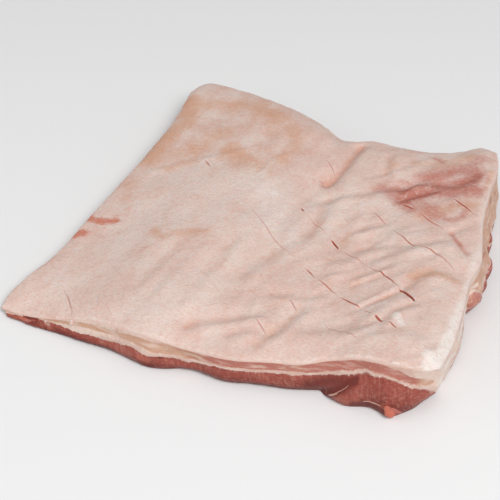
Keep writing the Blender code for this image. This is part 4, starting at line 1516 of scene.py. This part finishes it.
class SLAB_OT_stage(bpy.types.Operator):
    """Lay a plain pale floor and set up the soft lights and the camera"""

    bl_idname = "slab.stage"
    bl_label = "Floor, lights and camera"

    def execute(self, context):
        settings = context.scene.slab_stage
        bm = bmesh.new()
        bmesh.ops.create_grid(bm, x_segments=1, y_segments=1, size=settings.floor_size / 2)
        bmesh.ops.translate(bm, verts=bm.verts, vec=(0, 0, -FLOOR_GAP))
        paint = {"Base Color": opaque(settings.floor_colour), "Roughness": FLOOR_ROUGHNESS}
        finish_mesh("floor", bm, Recipe("pale_floor").surface(paint))
        add_light("key_light", KEY_PLACE, KEY_SIZE, settings.key_power)
        add_light("fill_light", FILL_PLACE, FILL_SIZE, settings.fill_power)
        world = bpy.data.worlds.new("pale_room")
        world.use_nodes = True
        background = world.node_tree.nodes["Background"]
        background.inputs["Color"].default_value = (1.0, 1.0, 1.0, 1.0)
        background.inputs["Strength"].default_value = settings.sky
        context.scene.world = world
        context.scene.view_settings.view_transform = "Standard"
        add_camera(context.scene)
        return {"FINISHED"}


def aim(place, target):
    """Turn of a light or camera that looks from a place at a target."""
    return (Vector(target) - Vector(place)).to_track_quat("-Z", "Y").to_euler()


def add_light(name, place, size, power):
    """A square soft light aimed at the slab."""
    light = bpy.data.lights.new(name, "AREA")
    light.shape = "SQUARE"
    light.size = size
    light.energy = power
    lamp = bpy.data.objects.new(name, light)
    lamp.location = place
    lamp.rotation_euler = aim(place, LIGHT_TARGET)
    bpy.context.scene.collection.objects.link(lamp)


def add_camera(scene):
    """The camera at the photograph's angle."""
    tilt = math.radians(CAMERA_ELEVATION)
    turn = math.radians(CAMERA_AZIMUTH)
    back = Vector((math.sin(turn) * math.cos(tilt), -math.cos(turn) * math.cos(tilt), math.sin(tilt)))
    place = Vector(CAMERA_TARGET) + back * CAMERA_DISTANCE
    camera = bpy.data.objects.new("camera", bpy.data.cameras.new("camera"))
    camera.data.lens = CAMERA_LENS
    camera.location = place
    camera.rotation_euler = aim(place, CAMERA_TARGET)
    scene.collection.objects.link(camera)
    scene.camera = camera


class SLAB_PT_panel(bpy.types.Panel):
    """Lists the slab's pieces and settings."""

    bl_idname = "SLAB_PT_panel"
    bl_label = "Pork belly slab"
    bl_space_type = "VIEW_3D"
    bl_region_type = "UI"
    bl_category = "Slab"

    def draw(self, context):
        layout = self.layout
        for operator in OPERATORS:
            layout.operator(operator.bl_idname)
        for group in (context.scene.slab_sizes, context.scene.slab_colours, context.scene.slab_stage):
            box = layout.box()
            for name in group.__annotations__:
                box.prop(group, name)


GROUPS = {"slab_sizes": SlabSizes, "slab_colours": SlabColours, "slab_stage": StageSettings}
OPERATORS = (
    SLAB_OT_body, SLAB_OT_fascias, SLAB_OT_shreds, SLAB_OT_flaps, SLAB_OT_muscle, SLAB_OT_stage)


def register():
    """Adds the settings, the operators and the panel to Blender."""
    for name, group in GROUPS.items():
        bpy.utils.register_class(group)
        setattr(bpy.types.Scene, name, PointerProperty(type=group))
    for kind in (*OPERATORS, SLAB_PT_panel):
        bpy.utils.register_class(kind)


def unregister():
    """Takes them away again."""
    for kind in (SLAB_PT_panel, *reversed(OPERATORS)):
        bpy.utils.unregister_class(kind)
    for name, group in GROUPS.items():
        delattr(bpy.types.Scene, name)
        bpy.utils.unregister_class(group)


def main():
    """Builds every piece and the stage."""
    register()
    bpy.ops.slab.body()
    bpy.ops.slab.fascias()
    bpy.ops.slab.shreds()
    bpy.ops.slab.flaps()
    bpy.ops.slab.muscle()
    bpy.ops.slab.stage()


if __name__ == "__main__":
    main()
